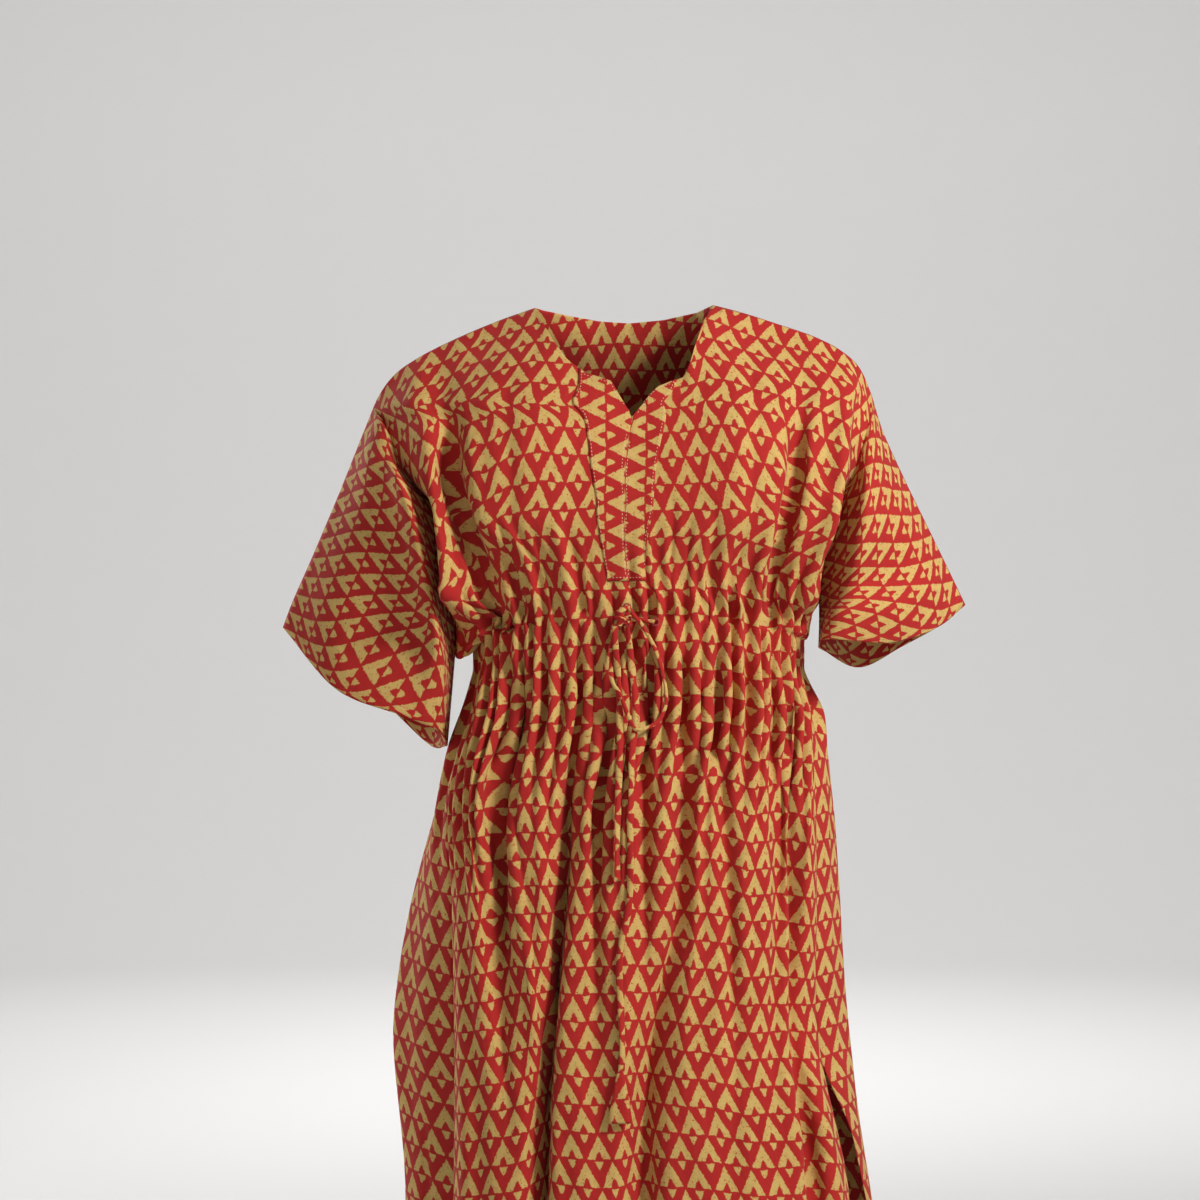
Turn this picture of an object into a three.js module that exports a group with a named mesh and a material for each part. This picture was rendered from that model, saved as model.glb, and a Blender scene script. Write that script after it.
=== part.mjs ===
// Drawstring-waist kaftan in block-printed cotton, as it hangs when worn.
// Millimetres, +Z up, front faces -Y. The origin is midway between the neck points, on the shoulder line.
import * as THREE from "three";

const WALL = 1.5;
const SEAM_GAP = 0.3;
const LAY_GAP = 0.9;
const CORD_SIDES = 8;

const HALF_BODY = 300;
const SLEEVE_END = 550;
const CASING_TOP = -332;
const CASING_END = -364;
const UNDERARM_Z = -226;
const SLIT_TOP = -768;
const HEM = -1240;

const FRONT_GATHERS = 28;
const BACK_GATHERS = 18;
const COLS_PER_GATHER = 3;
const GATHER_DEPTH = 3.2;
const GATHER_ABOVE = 55;
const GATHER_FLARE = 1.6;
const FLARE_RUN = 110;
const GATHER_RUN = 190;

// Share of the way from the top edge down to the underarm, for each row of the upper bodice.
const UPPER_ROWS = [0, 0.07, 0.18, 0.32, 0.48, 0.65, 0.82, 1];
const ARM_ROWS = UPPER_ROWS.length - 1;
const LOWER_BODICE = [-258, -292];
const SKIRT_ROWS = [-392, -430, -490, -560, -650, -768, -880, -1060, HEM];
const SLEEVE_CELLS = 6;
const NECK_HALF = 94;
const SECTION_STEPS = 160;
const ROUNDNESS = 0.8;
const FOLD_FADE = 40;
const HIP_REACH = 400;

// Fold of the shoulder and sleeve top, from the neck point to the sleeve tip.
const TOP_LEFT = [
  { x: -95, y: 2, z: -2 }, { x: -132, y: 2, z: -15 }, { x: -175, y: 1, z: -33 }, { x: -217, y: 0, z: -54 },
  { x: -244, y: 0, z: -73 }, { x: -260, y: 2, z: -94 }, { x: -276, y: 4, z: -131 }, { x: -302, y: 8, z: -195 },
  { x: -334, y: 15, z: -269 }, { x: -355, y: 22, z: -315 }, { x: -365, y: 25, z: -341 },
];
const TOP_RIGHT = [
  { x: 93, y: 2, z: 1 }, { x: 127, y: 2, z: -8 }, { x: 164, y: 1, z: -20 }, { x: 201, y: 0, z: -33 },
  { x: 228, y: 0, z: -47 }, { x: 247, y: 0, z: -64 }, { x: 260, y: 2, z: -91 }, { x: 272, y: 4, z: -129 },
  { x: 297, y: 8, z: -184 }, { x: 329, y: 14, z: -248 }, { x: 363, y: 20, z: -317 },
];

// Front neckline by column, with the split at its middle.
const NECK_FRONT = [
  { col: 28, x: -95, y: 2, z: -2 }, { col: 29, x: -88, y: -22, z: -17 }, { col: 31, x: -75, y: -45, z: -41 },
  { col: 33, x: -61, y: -61, z: -61 }, { col: 36, x: -42, y: -73, z: -77 }, { col: 39, x: -15, y: -81, z: -86 },
  { col: 42, x: 6, y: -96, z: -124 }, { col: 46, x: 33, y: -82, z: -92 }, { col: 50, x: 60, y: -75, z: -81 },
  { col: 51, x: 67, y: -68, z: -65 }, { col: 52, x: 74, y: -50, z: -42 }, { col: 53, x: 82, y: -28, z: -20 },
  { col: 54, x: 93, y: 2, z: 1 },
];
const NECK_BACK = [
  { col: 18, x: -95, y: 2, z: -2 }, { col: 19, x: -86, y: 22, z: -3 }, { col: 21, x: -62, y: 44, z: -6 },
  { col: 24, x: -28, y: 58, z: -11 }, { col: 27, x: 5, y: 61, z: -13 }, { col: 30, x: 42, y: 55, z: -10 },
  { col: 33, x: 78, y: 32, z: -4 }, { col: 34.7, x: 93, y: 2, z: 1 },
];

// Bodice folds: where each runs at six heights. x is across, y is depth.
const BODICE_LEVELS = [-25, -75, -130, -180, -230, -290];
const BODICE_FRONT = [
  { fold: "left arm ridge", x: [-235, -222, -207, -203, -196, -191], y: [-16, -44, -80, -94, -101, -104] },
  { fold: "left arm hollow", x: [-205, -195, -186, -182, -168, -148], y: [-24, -48, -72, -77, -80, -82] },
  { fold: "left bust ridge", x: [-180, -166, -160, -154, -146, -126], y: [-34, -62, -93, -106, -112, -112] },
  { fold: "left bust", x: [-110, -106, -103, -100, -98, -86], y: [-38, -74, -110, -122, -124, -118] },
  { fold: "left of split", x: [-50, -46, -42, -40, -38, -32], y: [-50, -78, -105, -117, -119, -113] },
  { fold: "middle", x: [6, 8, 12, 14, 15, 14], y: [-55, -80, -100, -112, -115, -110] },
  { fold: "right of split", x: [62, 66, 68, 67, 66, 60], y: [-50, -77, -105, -117, -119, -113] },
  { fold: "right bust", x: [118, 119, 120, 118, 113, 103], y: [-38, -74, -110, -122, -123, -117] },
  { fold: "right bust ridge", x: [160, 160, 160, 156, 149, 139], y: [-30, -64, -98, -110, -113, -113] },
  { fold: "right hollow", x: [180, 180, 178, 174, 165, 155], y: [-27, -56, -82, -88, -90, -91] },
  { fold: "right side ridge", x: [198, 196, 191, 186, 178, 168], y: [-26, -56, -88, -98, -102, -104] },
  { fold: "right side", x: [214, 212, 210, 206, 199, 188], y: [-22, -50, -80, -90, -96, -99] },
  { fold: "right arm ridge", x: [240, 235, 229, 226, 221, 209], y: [-16, -42, -76, -91, -98, -100] },
];
const BODICE_BACK = [
  { fold: "left arm ridge", x: [-235, -226, -212, -204, -196, -186], y: [20, 44, 62, 72, 78, 80] },
  { fold: "left blade", x: [-150, -146, -140, -134, -128, -116], y: [40, 74, 94, 101, 102, 97] },
  { fold: "left hollow", x: [-100, -92, -84, -80, -76, -68], y: [48, 80, 93, 95, 94, 88] },
  { fold: "left inner ridge", x: [-60, -54, -48, -46, -44, -38], y: [52, 82, 98, 102, 102, 96] },
  { fold: "middle", x: [6, 8, 12, 14, 15, 15], y: [54, 80, 92, 94, 93, 87] },
  { fold: "right inner ridge", x: [70, 72, 74, 74, 74, 68], y: [52, 82, 98, 102, 102, 96] },
  { fold: "right hollow", x: [112, 112, 112, 110, 106, 98], y: [46, 78, 92, 95, 94, 88] },
  { fold: "right blade", x: [164, 166, 166, 164, 158, 146], y: [38, 72, 93, 101, 102, 97] },
  { fold: "right arm ridge", x: [240, 240, 236, 232, 226, 214], y: [20, 42, 60, 72, 78, 80] },
];

// Sleeves: one row for each section across the sleeve, from the armhole to the sleeve hem. The points run
// from the top fold, round the arm, to the under-sleeve seam, which front and back share.
const LEFT_SEAM = [
  { x: -168, y: 0, z: -226 }, { x: -172, y: -2, z: -273 }, { x: -176, y: -3, z: -321 },
  { x: -180, y: -4, z: -370 }, { x: -184, y: -5, z: -418 }, { x: -188, y: -6, z: -466 },
];
const RIGHT_SEAM = [
  { x: 190, y: 0, z: -226 }, { x: 200, y: -3, z: -256 }, { x: 204, y: -6, z: -284 },
  { x: 205, y: -9, z: -312 }, { x: 205, y: -12, z: -338 }, { x: 204, y: -15, z: -362 },
];
const LEFT_SLEEVE_FRONT = [
  { arm: [-256, -32, -124], dip: [-243, -43, -150], ridge: [-225, -37, -190] },
  { arm: [-270, -38, -168], dip: [-251, -56, -173], ridge: [-234, -78, -186] },
  { arm: [-275, -36, -214], dip: [-236, -62, -238], ridge: [-217, -86, -242] },
  { arm: [-288, -34, -268], dip: [-224, -64, -300], ridge: [-206, -86, -300] },
  { arm: [-304, -30, -330], dip: [-212, -62, -356], ridge: [-195, -80, -358] },
  { arm: [-298, -42, -408], dip: [-232, -62, -432], ridge: [-196, -48, -448] },
];
const LEFT_SLEEVE_BACK = [
  { arm: [-252, 34, -128], dip: [-236, 48, -160], ridge: [-210, 42, -198] },
  { arm: [-268, 44, -175], dip: [-246, 62, -205], ridge: [-216, 54, -245] },
  { arm: [-282, 50, -228], dip: [-252, 68, -260], ridge: [-218, 58, -295] },
  { arm: [-299, 54, -278], dip: [-258, 74, -315], ridge: [-218, 62, -350] },
  { arm: [-313, 56, -325], dip: [-264, 76, -368], ridge: [-216, 62, -408] },
  { arm: [-320, 60, -376], dip: [-266, 74, -418], ridge: [-210, 58, -468] },
];
const RIGHT_SLEEVE_FRONT = [
  { arm: [258, -30, -122], dip: [248, -43, -152], ridge: [236, -38, -190] },
  { arm: [268, -36, -162], dip: [257, -60, -182], ridge: [246, -74, -206] },
  { arm: [285, -34, -210], dip: [266, -62, -234], ridge: [241, -79, -258] },
  { arm: [305, -26, -260], dip: [272, -50, -282], ridge: [234, -70, -298] },
  { arm: [322, -26, -300], dip: [282, -60, -318], ridge: [220, -82, -326] },
  { arm: [330, -16, -340], dip: [278, -52, -356], ridge: [208, -78, -352] },
];
const RIGHT_SLEEVE_BACK = [
  { arm: [254, 34, -122], dip: [244, 48, -155], ridge: [226, 42, -195] },
  { arm: [267, 44, -166], dip: [251, 62, -195], ridge: [234, 54, -232] },
  { arm: [285, 50, -216], dip: [264, 68, -245], ridge: [240, 58, -275] },
  { arm: [305, 54, -262], dip: [277, 72, -292], ridge: [246, 60, -318] },
  { arm: [324, 54, -303], dip: [289, 70, -330], ridge: [250, 58, -354] },
  { arm: [336, 50, -341], dip: [300, 66, -362], ridge: [256, 54, -384] },
];

// Girth of the skirt by height: the seams, the crest of the front and back and the widest points between.
const GIRTH = [
  { z: -332, seamL: [-152, -8], seamR: [183, -8], front: -106, back: 84, wideL: -156, wideR: 187 },
  { z: -364, seamL: [-152, -8], seamR: [183, -8], front: -106, back: 84, wideL: -156, wideR: 187 },
  { z: -420, seamL: [-158, -22], seamR: [192, -22], front: -114, back: 94, wideL: -166, wideR: 206 },
  { z: -520, seamL: [-184, -42], seamR: [198, -38], front: -124, back: 108, wideL: -201, wideR: 220 },
  { z: -620, seamL: [-181, -52], seamR: [199, -44], front: -131, back: 120, wideL: -226, wideR: 226 },
  { z: -768, seamL: [-178, -60], seamR: [201, -45], front: -140, back: 132, wideL: -247, wideR: 236 },
  { z: -930, seamL: [-178, -70], seamR: [232, -54], front: -147, back: 145, wideL: -236, wideR: 262 },
  { z: -1240, seamL: [-182, -86], seamR: [250, -66], front: -156, back: 160, wideL: -228, wideR: 300 },
];
// Edges of the back panel below the slits. The left one lies behind the front panel's edge.
const BACK_EDGE = [
  { z: -768, left: [-178, -60], right: [201, -45] },
  { z: -880, left: [-170, -44], right: [240, -34] },
  { z: -1240, left: [-166, -40], right: [298, -18] },
];

// Skirt folds: where each runs, how deep it is and how wide, at seven heights. A ridge has a depth below 0.
const FOLD_LEVELS = [-415, -515, -620, -720, -820, -920, -1240];
const SKIRT_FRONT_FOLDS = [
  {
    fold: "left edge ridge",
    x: [-141, -152, -153, -150, -148, -148, -150],
    depth: [-4, -8, -6, -3, 0, 0, 0],
    width: [9, 10, 12, 14, 14, 14, 14],
  },
  {
    fold: "left trough",
    x: [-108, -129, -131, -128, -125, -122, -120],
    depth: [18, 26, 20, 8, 2, 0, 0],
    width: [7, 9, 9, 9, 9, 9, 9],
  },
  {
    fold: "left long fold",
    x: [-45, -60, -68, -78, -86, -90, -112],
    depth: [14, 24, 31, 34, 34, 33, 30],
    width: [6, 7, 8, 8, 8, 8, 10],
  },
  {
    fold: "left of knot",
    x: [-23, -26, -30, -32, -34, -36, -40],
    depth: [11, 12, 8, 3, 0, 0, 0],
    width: [6, 6, 6, 6, 6, 6, 6],
  },
  {
    fold: "middle ridge",
    x: [2, -4, -4, -6, 2, 4, 6],
    depth: [-5, -5, -4, -4, -5, -6, -6],
    width: [9, 10, 12, 14, 18, 20, 24],
  },
  {
    fold: "right of knot",
    x: [19, 19, 19, 20, 21, 22, 24],
    depth: [13, 12, 6, 2, 0, 0, 0],
    width: [6, 6, 6, 6, 6, 6, 6],
  },
  {
    fold: "middle long fold",
    x: [63, 60, 55, 34, 22, 17, 5],
    depth: [13, 14, 15, 20, 24, 26, 28],
    width: [7, 8, 11, 16, 18, 20, 24],
  },
  {
    fold: "right crease",
    x: [91, 101, 106, 111, 112, 112, 112],
    depth: [8, 9, 9, 7, 3, 0, 0],
    width: [6, 7, 8, 9, 9, 9, 9],
  },
  {
    fold: "right trough",
    x: [152, 160, 162, 157, 155, 155, 155],
    depth: [4, 10, 12, 8, 2, 0, 0],
    width: [7, 8, 9, 9, 9, 9, 9],
  },
  {
    fold: "right edge fold",
    x: [172, 178, 183, 187, 192, 194, 206],
    depth: [4, 12, 16, 16, 14, 12, 12],
    width: [6, 7, 7, 8, 8, 9, 10],
  },
];
const SKIRT_BACK_FOLDS = [
  {
    fold: "left side",
    x: [-130, -170, -186, -196, -200, -196, -190],
    depth: [6, 10, 12, 12, 10, 8, 8],
    width: [7, 9, 12, 14, 14, 14, 14],
  },
  {
    fold: "left fold",
    x: [-84, -104, -118, -124, -128, -130, -134],
    depth: [8, 14, 20, 24, 26, 26, 26],
    width: [7, 8, 10, 12, 13, 14, 16],
  },
  {
    fold: "left of middle",
    x: [-28, -34, -38, -42, -46, -48, -52],
    depth: [8, 13, 14, 10, 6, 4, 2],
    width: [6, 8, 9, 10, 10, 10, 10],
  },
  {
    fold: "right of middle",
    x: [28, 30, 34, 36, 38, 38, 40],
    depth: [8, 15, 22, 26, 28, 28, 28],
    width: [7, 8, 10, 12, 14, 15, 18],
  },
  {
    fold: "right crease",
    x: [88, 96, 104, 110, 114, 116, 120],
    depth: [8, 13, 12, 8, 5, 3, 2],
    width: [6, 8, 9, 10, 10, 10, 10],
  },
  {
    fold: "right fold",
    x: [138, 160, 172, 180, 186, 190, 200],
    depth: [7, 12, 18, 22, 24, 24, 24],
    width: [7, 8, 10, 12, 13, 14, 16],
  },
];

// Drawstring: its runs as points chosen by eye, the middle of the cord.
const KNOT = { x: -5, y: -120.8, z: -328.5, wide: 13, deep: 11, tall: 19 };
const CROSS_D = 5;
const CROSS_RUN = [[30, -113.8, -334], [22, -114.6, -333], [13, -117, -331.5], [2.3, -119, -330.5]];
const LOOP_D = 4;
const LOOP_RUN = [
  [1.5, -119.6, -318], [8, -122.6, -327], [14, -122.8, -334], [20, -119, -343], [30, -114, -362],
  [37.5, -115.5, -385], [41, -118, -405], [40.4, -119, -420], [33.5, -122, -434], [22, -127, -441.5],
  [10, -130.6, -443], [2, -129, -429], [-7, -128.2, -406], [-12.5, -127, -398], [-15, -120.5, -388],
  [-15, -113.5, -374], [-14.5, -112, -358], [-11, -112.2, -343], [-6, -116.5, -339.2],
];
const END_D = 6;
const LONG_RUN = [
  [0.8, -120.5, -336.8], [2, -117, -346], [4, -114.8, -362], [7, -117, -390], [10, -121, -414],
  [10, -124.8, -437], [7, -127.4, -458], [5, -131.5, -515], [4, -135.2, -560], [4, -138, -607],
  [0, -140.3, -637], [-6, -141.4, -665], [-7, -142.8, -692], [-5, -145.2, -730], [-4, -147.7, -770],
  [-5, -148, -788],
];
const SHORT_RUN = [
  [-10.6, -121.2, -336.8], [-11.5, -119, -347], [-10.5, -117.6, -362], [-9, -118, -376],
  [-7.5, -121.6, -400], [-7, -122.6, -413], [-6, -125.4, -452], [-8, -133, -515],
  [-9, -135.6, -560], [-9, -137.4, -595],
];
const LONG_TIP = { x: -6, y: -148.2, top: -788.6, wide: 24, tall: 52, deep: 6.4 };

const FABRIC = { color: 0xb42e24, roughness: 0.85, metalness: 0 };

const clamp01 = (t) => Math.min(1, Math.max(0, t));
const mix = (a, b, t) => a + (b - a) * t;
const mixAll = (a, b, t) => a.map((v, i) => mix(v, b[i], t));

// The value at z in a list that belongs to falling heights, eased between them.
function atHeight(levels, values, z) {
  if (z >= levels[0]) return values[0];
  const last = levels.length - 1;
  if (z <= levels[last]) return values[last];
  const k = levels.findIndex((level) => level <= z) - 1;
  const t = (levels[k] - z) / (levels[k] - levels[k + 1]);
  const before = values[Math.max(0, k - 1)];
  const after = values[Math.min(last, k + 2)];
  const a = values[k];
  const b = values[k + 1];
  const bend = (after - b - b + a) * t + (before - a - a + b) * (1 - t);
  return mix(a, b, t) - (bend * t * (1 - t)) / 4;
}

// A smooth curve through points, as n + 1 points the same distance apart.
function spaced(points, n) {
  const curve = new THREE.CatmullRomCurve3(points.map((p) => new THREE.Vector3(...p)), false, "centripetal");
  curve.arcLengthDivisions = 400;
  return curve.getSpacedPoints(n).map((p) => p.toArray());
}

// The point a given length along the top fold.
function alongTop(line, length) {
  let left = length;
  for (let i = 0; i < line.length - 1; i += 1) {
    const a = line[i];
    const b = line[i + 1];
    const step = Math.hypot(b.x - a.x, b.y - a.y, b.z - a.z);
    if (left <= step || i === line.length - 2) {
      return mixAll([a.x, a.y, a.z], [b.x, b.y, b.z], left / step);
    }
    left -= step;
  }
  return null;
}

function alongNeck(rows, col) {
  const k = Math.max(0, rows.findIndex((row) => row.col >= col) - 1);
  const a = rows[k];
  const b = rows[k + 1];
  return mixAll([a.x, a.y, a.z], [b.x, b.y, b.z], (col - a.col) / (b.col - a.col));
}

const foldLength = (line) => line.slice(1).reduce((sum, b, i) => {
  const a = line[i];
  return sum + Math.hypot(b.x - a.x, b.y - a.y, b.z - a.z);
}, 0);

// One section across a sleeve: rows from the top fold to the under-sleeve seam.
function sleeveSection(line, table, seam, at, rows) {
  const start = neckToArmhole(line);
  const t = at * (table.length - 1);
  const k = Math.min(table.length - 2, Math.floor(t));
  const f = t - k;
  const top = alongTop(line, mix(start, foldLength(line), at));
  const arm = mixAll(table[k].arm, table[k + 1].arm, f);
  const dip = mixAll(table[k].dip, table[k + 1].dip, f);
  const ridge = mixAll(table[k].ridge, table[k + 1].ridge, f);
  const end = mixAll([seam[k].x, seam[k].y, seam[k].z], [seam[k + 1].x, seam[k + 1].y, seam[k + 1].z], f);
  return spaced([top, arm, dip, ridge, end], rows);
}

// The armhole lies where the body's half width ends, measured along the top fold from the neck point.
const neckToArmhole = (line) => foldLength(line) * ((HALF_BODY - NECK_HALF) / (SLEEVE_END - NECK_HALF));

// Outline of the front or back at height z, from the left seam to the right one, before gathers.
function skirtSection(side, z) {
  const zs = GIRTH.map((row) => row.z);
  const pick = (get) => atHeight(zs, GIRTH.map(get), z);
  const seamL = [pick((g) => g.seamL[0]), pick((g) => g.seamL[1])];
  const seamR = [pick((g) => g.seamR[0]), pick((g) => g.seamR[1])];
  const crest = pick((g) => g[side]);
  const points = [];
  if (side === "front") {
    const mid = (seamL[0] + seamR[0]) / 2;
    const half = (seamR[0] - seamL[0]) / 2;
    for (let i = 0; i <= SECTION_STEPS; i += 1) {
      const turn = (i / SECTION_STEPS) * Math.PI;
      const x = mid - half * Math.cos(turn);
      const edge = mix(seamL[1], seamR[1], i / SECTION_STEPS);
      points.push([x, mix(edge, crest, Math.sin(turn) ** ROUNDNESS), z]);
    }
    return foldIn(points, SKIRT_FRONT_FOLDS, z, 1);
  }
  const wide = [pick((g) => g.wideL), pick((g) => g.wideR)];
  const edges = BACK_EDGE.map((row) => row.z);
  const low = z < SLIT_TOP;
  const startL = low ? [0, 1].map((i) => atHeight(edges, BACK_EDGE.map((row) => row.left[i]), z)) : seamL;
  const startR = low ? [0, 1].map((i) => atHeight(edges, BACK_EDGE.map((row) => row.right[i]), z)) : seamR;
  const mid = (wide[0] + wide[1]) / 2;
  const half = (wide[1] - wide[0]) / 2;
  const sideY = mix(8, 20, clamp01((CASING_END - z) / HIP_REACH));
  const outline = [[...startL, z], [mix(startL[0], wide[0], 0.75), mix(startL[1], sideY, 0.5), z]];
  for (let i = 0; i <= 10; i += 1) {
    const turn = (i / 10) * Math.PI;
    outline.push([mid - half * Math.cos(turn), mix(sideY, crest, Math.sin(turn) ** ROUNDNESS), z]);
  }
  outline.push([mix(startR[0], wide[1], 0.75), mix(startR[1], sideY, 0.5), z], [...startR, z]);
  return foldIn(spaced(outline, SECTION_STEPS), SKIRT_BACK_FOLDS, z, -1);
}

// Presses the folds of a table into a section. inward is +1 for the front and -1 for the back.
function foldIn(points, folds, z, inward) {
  return points.map(([x, y], i) => {
    const a = points[Math.max(0, i - 1)];
    const b = points[Math.min(points.length - 1, i + 1)];
    const length = Math.hypot(b[0] - a[0], b[1] - a[1]) || 1;
    const nx = -(b[1] - a[1]) / length;
    const ny = (b[0] - a[0]) / length;
    const facing = inward * y < 20 ? 1 : 0;
    const fade = clamp01(Math.min(i, points.length - 1 - i) / 6) * clamp01((CASING_END - z) / FOLD_FADE);
    const push = folds.reduce((sum, fold) => {
      const away = (x - atHeight(FOLD_LEVELS, fold.x, z)) / atHeight(FOLD_LEVELS, fold.width, z);
      return sum + atHeight(FOLD_LEVELS, fold.depth, z) * Math.exp(-away * away);
    }, 0);
    const depth = push * fade * facing * inward;
    return [x + nx * depth, y + ny * depth, z];
  });
}

// A section of the bodice: the folds' places at height z between the two seam points.
function bodiceSection(table, z, seamL, seamR) {
  const inner = table.map((row) => [atHeight(BODICE_LEVELS, row.x, z), atHeight(BODICE_LEVELS, row.y, z), z]);
  return [seamL, ...inner, seamR];
}

// How far the gathers stand out at height z.
function gatherDepth(z) {
  if (z > CASING_TOP) return GATHER_DEPTH * Math.exp(-(((z - CASING_TOP) / GATHER_ABOVE) ** 2));
  if (z > CASING_END) return GATHER_DEPTH;
  const down = CASING_END - z;
  const flare = GATHER_FLARE * Math.sin(clamp01(down / FLARE_RUN) * Math.PI);
  return (GATHER_DEPTH + flare) * clamp01(1 - down / GATHER_RUN);
}

function gather(row, z, outward) {
  const depth = gatherDepth(z);
  return row.map((p, i) => {
    if (i === 0 || i === row.length - 1) return p;
    const a = row[i - 1];
    const b = row[i + 1];
    const length = Math.hypot(b[0] - a[0], b[1] - a[1]);
    const wave = depth * Math.cos((i / COLS_PER_GATHER) * 2 * Math.PI) * outward;
    return [p[0] + ((b[1] - a[1]) / length) * wave, p[1] - ((b[0] - a[0]) / length) * wave, p[2]];
  });
}

// Rows of one panel's body, from the top edge to the hem, with cols + 1 points in each.
function bodyRows(side) {
  const front = side === "front";
  const cols = (front ? FRONT_GATHERS : BACK_GATHERS) * COLS_PER_GATHER;
  const table = front ? BODICE_FRONT : BODICE_BACK;
  const neck = front ? NECK_FRONT : NECK_BACK;
  const outward = front ? 1 : -1;
  const neckL = neck[0].col;
  const neckR = neck[neck.length - 1].col;
  const arm = {
    left: sleeveSection(TOP_LEFT, front ? LEFT_SLEEVE_FRONT : LEFT_SLEEVE_BACK, LEFT_SEAM, 0, ARM_ROWS),
    right: sleeveSection(TOP_RIGHT, front ? RIGHT_SLEEVE_FRONT : RIGHT_SLEEVE_BACK, RIGHT_SEAM, 0, ARM_ROWS),
  };
  const top = (col) => {
    if (col < neckL) return alongTop(TOP_LEFT, (neckL - col) / neckL * neckToArmhole(TOP_LEFT));
    if (col > neckR) return alongTop(TOP_RIGHT, (col - neckR) / (cols - neckR) * neckToArmhole(TOP_RIGHT));
    return alongNeck(neck, col);
  };
  const section = (z, i) => {
    const ends = [arm.left[i], arm.right[i]].map(([x, y]) => [x, y, z]);
    return spaced(bodiceSection(table, z, ends[0], ends[1]), cols);
  };
  const rows = UPPER_ROWS.map((share, r) => {
    const row = [];
    for (let col = 0; col <= cols; col += 1) {
      const start = top(col);
      const z = mix(start[2], UNDERARM_Z, share);
      const here = section(z, r)[col];
      const atTop = section(start[2], r)[col];
      const pull = (1 - share) ** 3;
      row.push([here[0] + (start[0] - atTop[0]) * pull, here[1] + (start[1] - atTop[1]) * pull, z]);
    }
    row[0] = arm.left[r];
    row[cols] = arm.right[r];
    return row;
  });
  const waist = resample(skirtSection(side, CASING_TOP), cols);
  LOWER_BODICE.forEach((z) => {
    const share = (UNDERARM_Z - z) / (UNDERARM_Z - CASING_TOP);
    const ends = [arm.left[ARM_ROWS], arm.right[ARM_ROWS]].map((p, i) => mixAll(p, waist[i * cols], share));
    const seams = ends.map(([x, y]) => [x, y, z]);
    rows.push(gather(spaced(bodiceSection(table, z, seams[0], seams[1]), cols), z, outward));
  });
  OVERHANG.forEach((row) => rows.push(overhang(waist, front, row)));
  [CASING_TOP, CASING_END].forEach((z) => rows.push(gather(waist.map(([x, y]) => [x, y, z]), z, outward)));
  SKIRT_ROWS.forEach((z) => rows.push(gather(resample(skirtSection(side, z), cols), z, outward)));
  return { rows, cols };
}

// The blouse hangs over the casing, most at the left end of the front.
const OVERHANG = [
  { z: -318, drop: -34, out: 5, moreOut: 20 },
  { z: -327, drop: -12, out: 2, moreOut: 8 },
];
function overhang(waist, front, { z, drop, out, moreOut }) {
  const cols = waist.length - 1;
  const row = gather(waist, CASING_TOP, front ? 1 : -1);
  return row.map((p, i) => {
    const side = front ? clamp01(1 - i / 14) : clamp01(1 - i / 9);
    const amount = Math.max(side * side * (3 - 2 * side), 0.12) * clamp01(i / 3);
    const a = row[Math.max(0, i - 1)];
    const b = row[Math.min(cols, i + 1)];
    const length = Math.hypot(b[0] - a[0], b[1] - a[1]);
    const push = (out + moreOut * amount) * (front ? 1 : -1) * clamp01(Math.min(i, cols - i) / 3);
    return [p[0] + ((b[1] - a[1]) / length) * push, p[1] - ((b[0] - a[0]) / length) * push, z + drop * amount];
  });
}

// n + 1 points the same distance apart along a polyline.
function resample(points, n) {
  const lengths = [0];
  points.slice(1).forEach((p, i) => {
    lengths.push(lengths[i] + Math.hypot(p[0] - points[i][0], p[1] - points[i][1], p[2] - points[i][2]));
  });
  const total = lengths[lengths.length - 1];
  let k = 0;
  return Array.from({ length: n + 1 }, (_, i) => {
    const want = (i / n) * total;
    while (k < points.length - 2 && lengths[k + 1] < want) k += 1;
    return mixAll(points[k], points[k + 1], (want - lengths[k]) / (lengths[k + 1] - lengths[k]));
  });
}

// Turns a middle surface into a closed wall. At a seam the wall's end is upright and faces along Y.
function wall(points, quads, isSeam, thickness) {
  const normals = points.map(() => new THREE.Vector3());
  const ab = new THREE.Vector3();
  const ac = new THREE.Vector3();
  const triangles = quads.flatMap(([a, b, c, d]) => [[a, b, c], [a, c, d]]);
  triangles.forEach(([a, b, c]) => {
    ab.set(...points[b]).sub(new THREE.Vector3(...points[a]));
    ac.set(...points[c]).sub(new THREE.Vector3(...points[a]));
    const normal = ab.clone().cross(ac);
    [a, b, c].forEach((i) => normals[i].add(normal));
  });
  normals.forEach((normal, i) => {
    if (isSeam(i)) normal.y = 0;
    normal.normalize();
  });
  const edges = new Map();
  triangles.forEach(([a, b, c]) => [[a, b], [b, c], [c, a]].forEach(([from, to]) => {
    if (edges.has(`${to},${from}`)) edges.delete(`${to},${from}`);
    else edges.set(`${from},${to}`, [from, to]);
  }));
  const count = points.length;
  const outer = points.map((p, i) => new THREE.Vector3(...p).addScaledVector(normals[i], thickness / 2));
  const inner = points.map((p, i) => new THREE.Vector3(...p).addScaledVector(normals[i], -thickness / 2));
  const index = [];
  triangles.forEach(([a, b, c]) => index.push(a, b, c, count + a, count + c, count + b));
  edges.forEach(([from, to]) => index.push(from, count + from, count + to, from, count + to, to));
  return { geometry: solid([...outer, ...inner], index), outer };
}

function solid(vertices, index) {
  const geometry = new THREE.BufferGeometry();
  geometry.setAttribute("position", new THREE.Float32BufferAttribute(vertices.flatMap((v) => v.toArray()), 3));
  geometry.setIndex(index);
  geometry.computeVertexNormals();
  return geometry;
}

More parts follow.
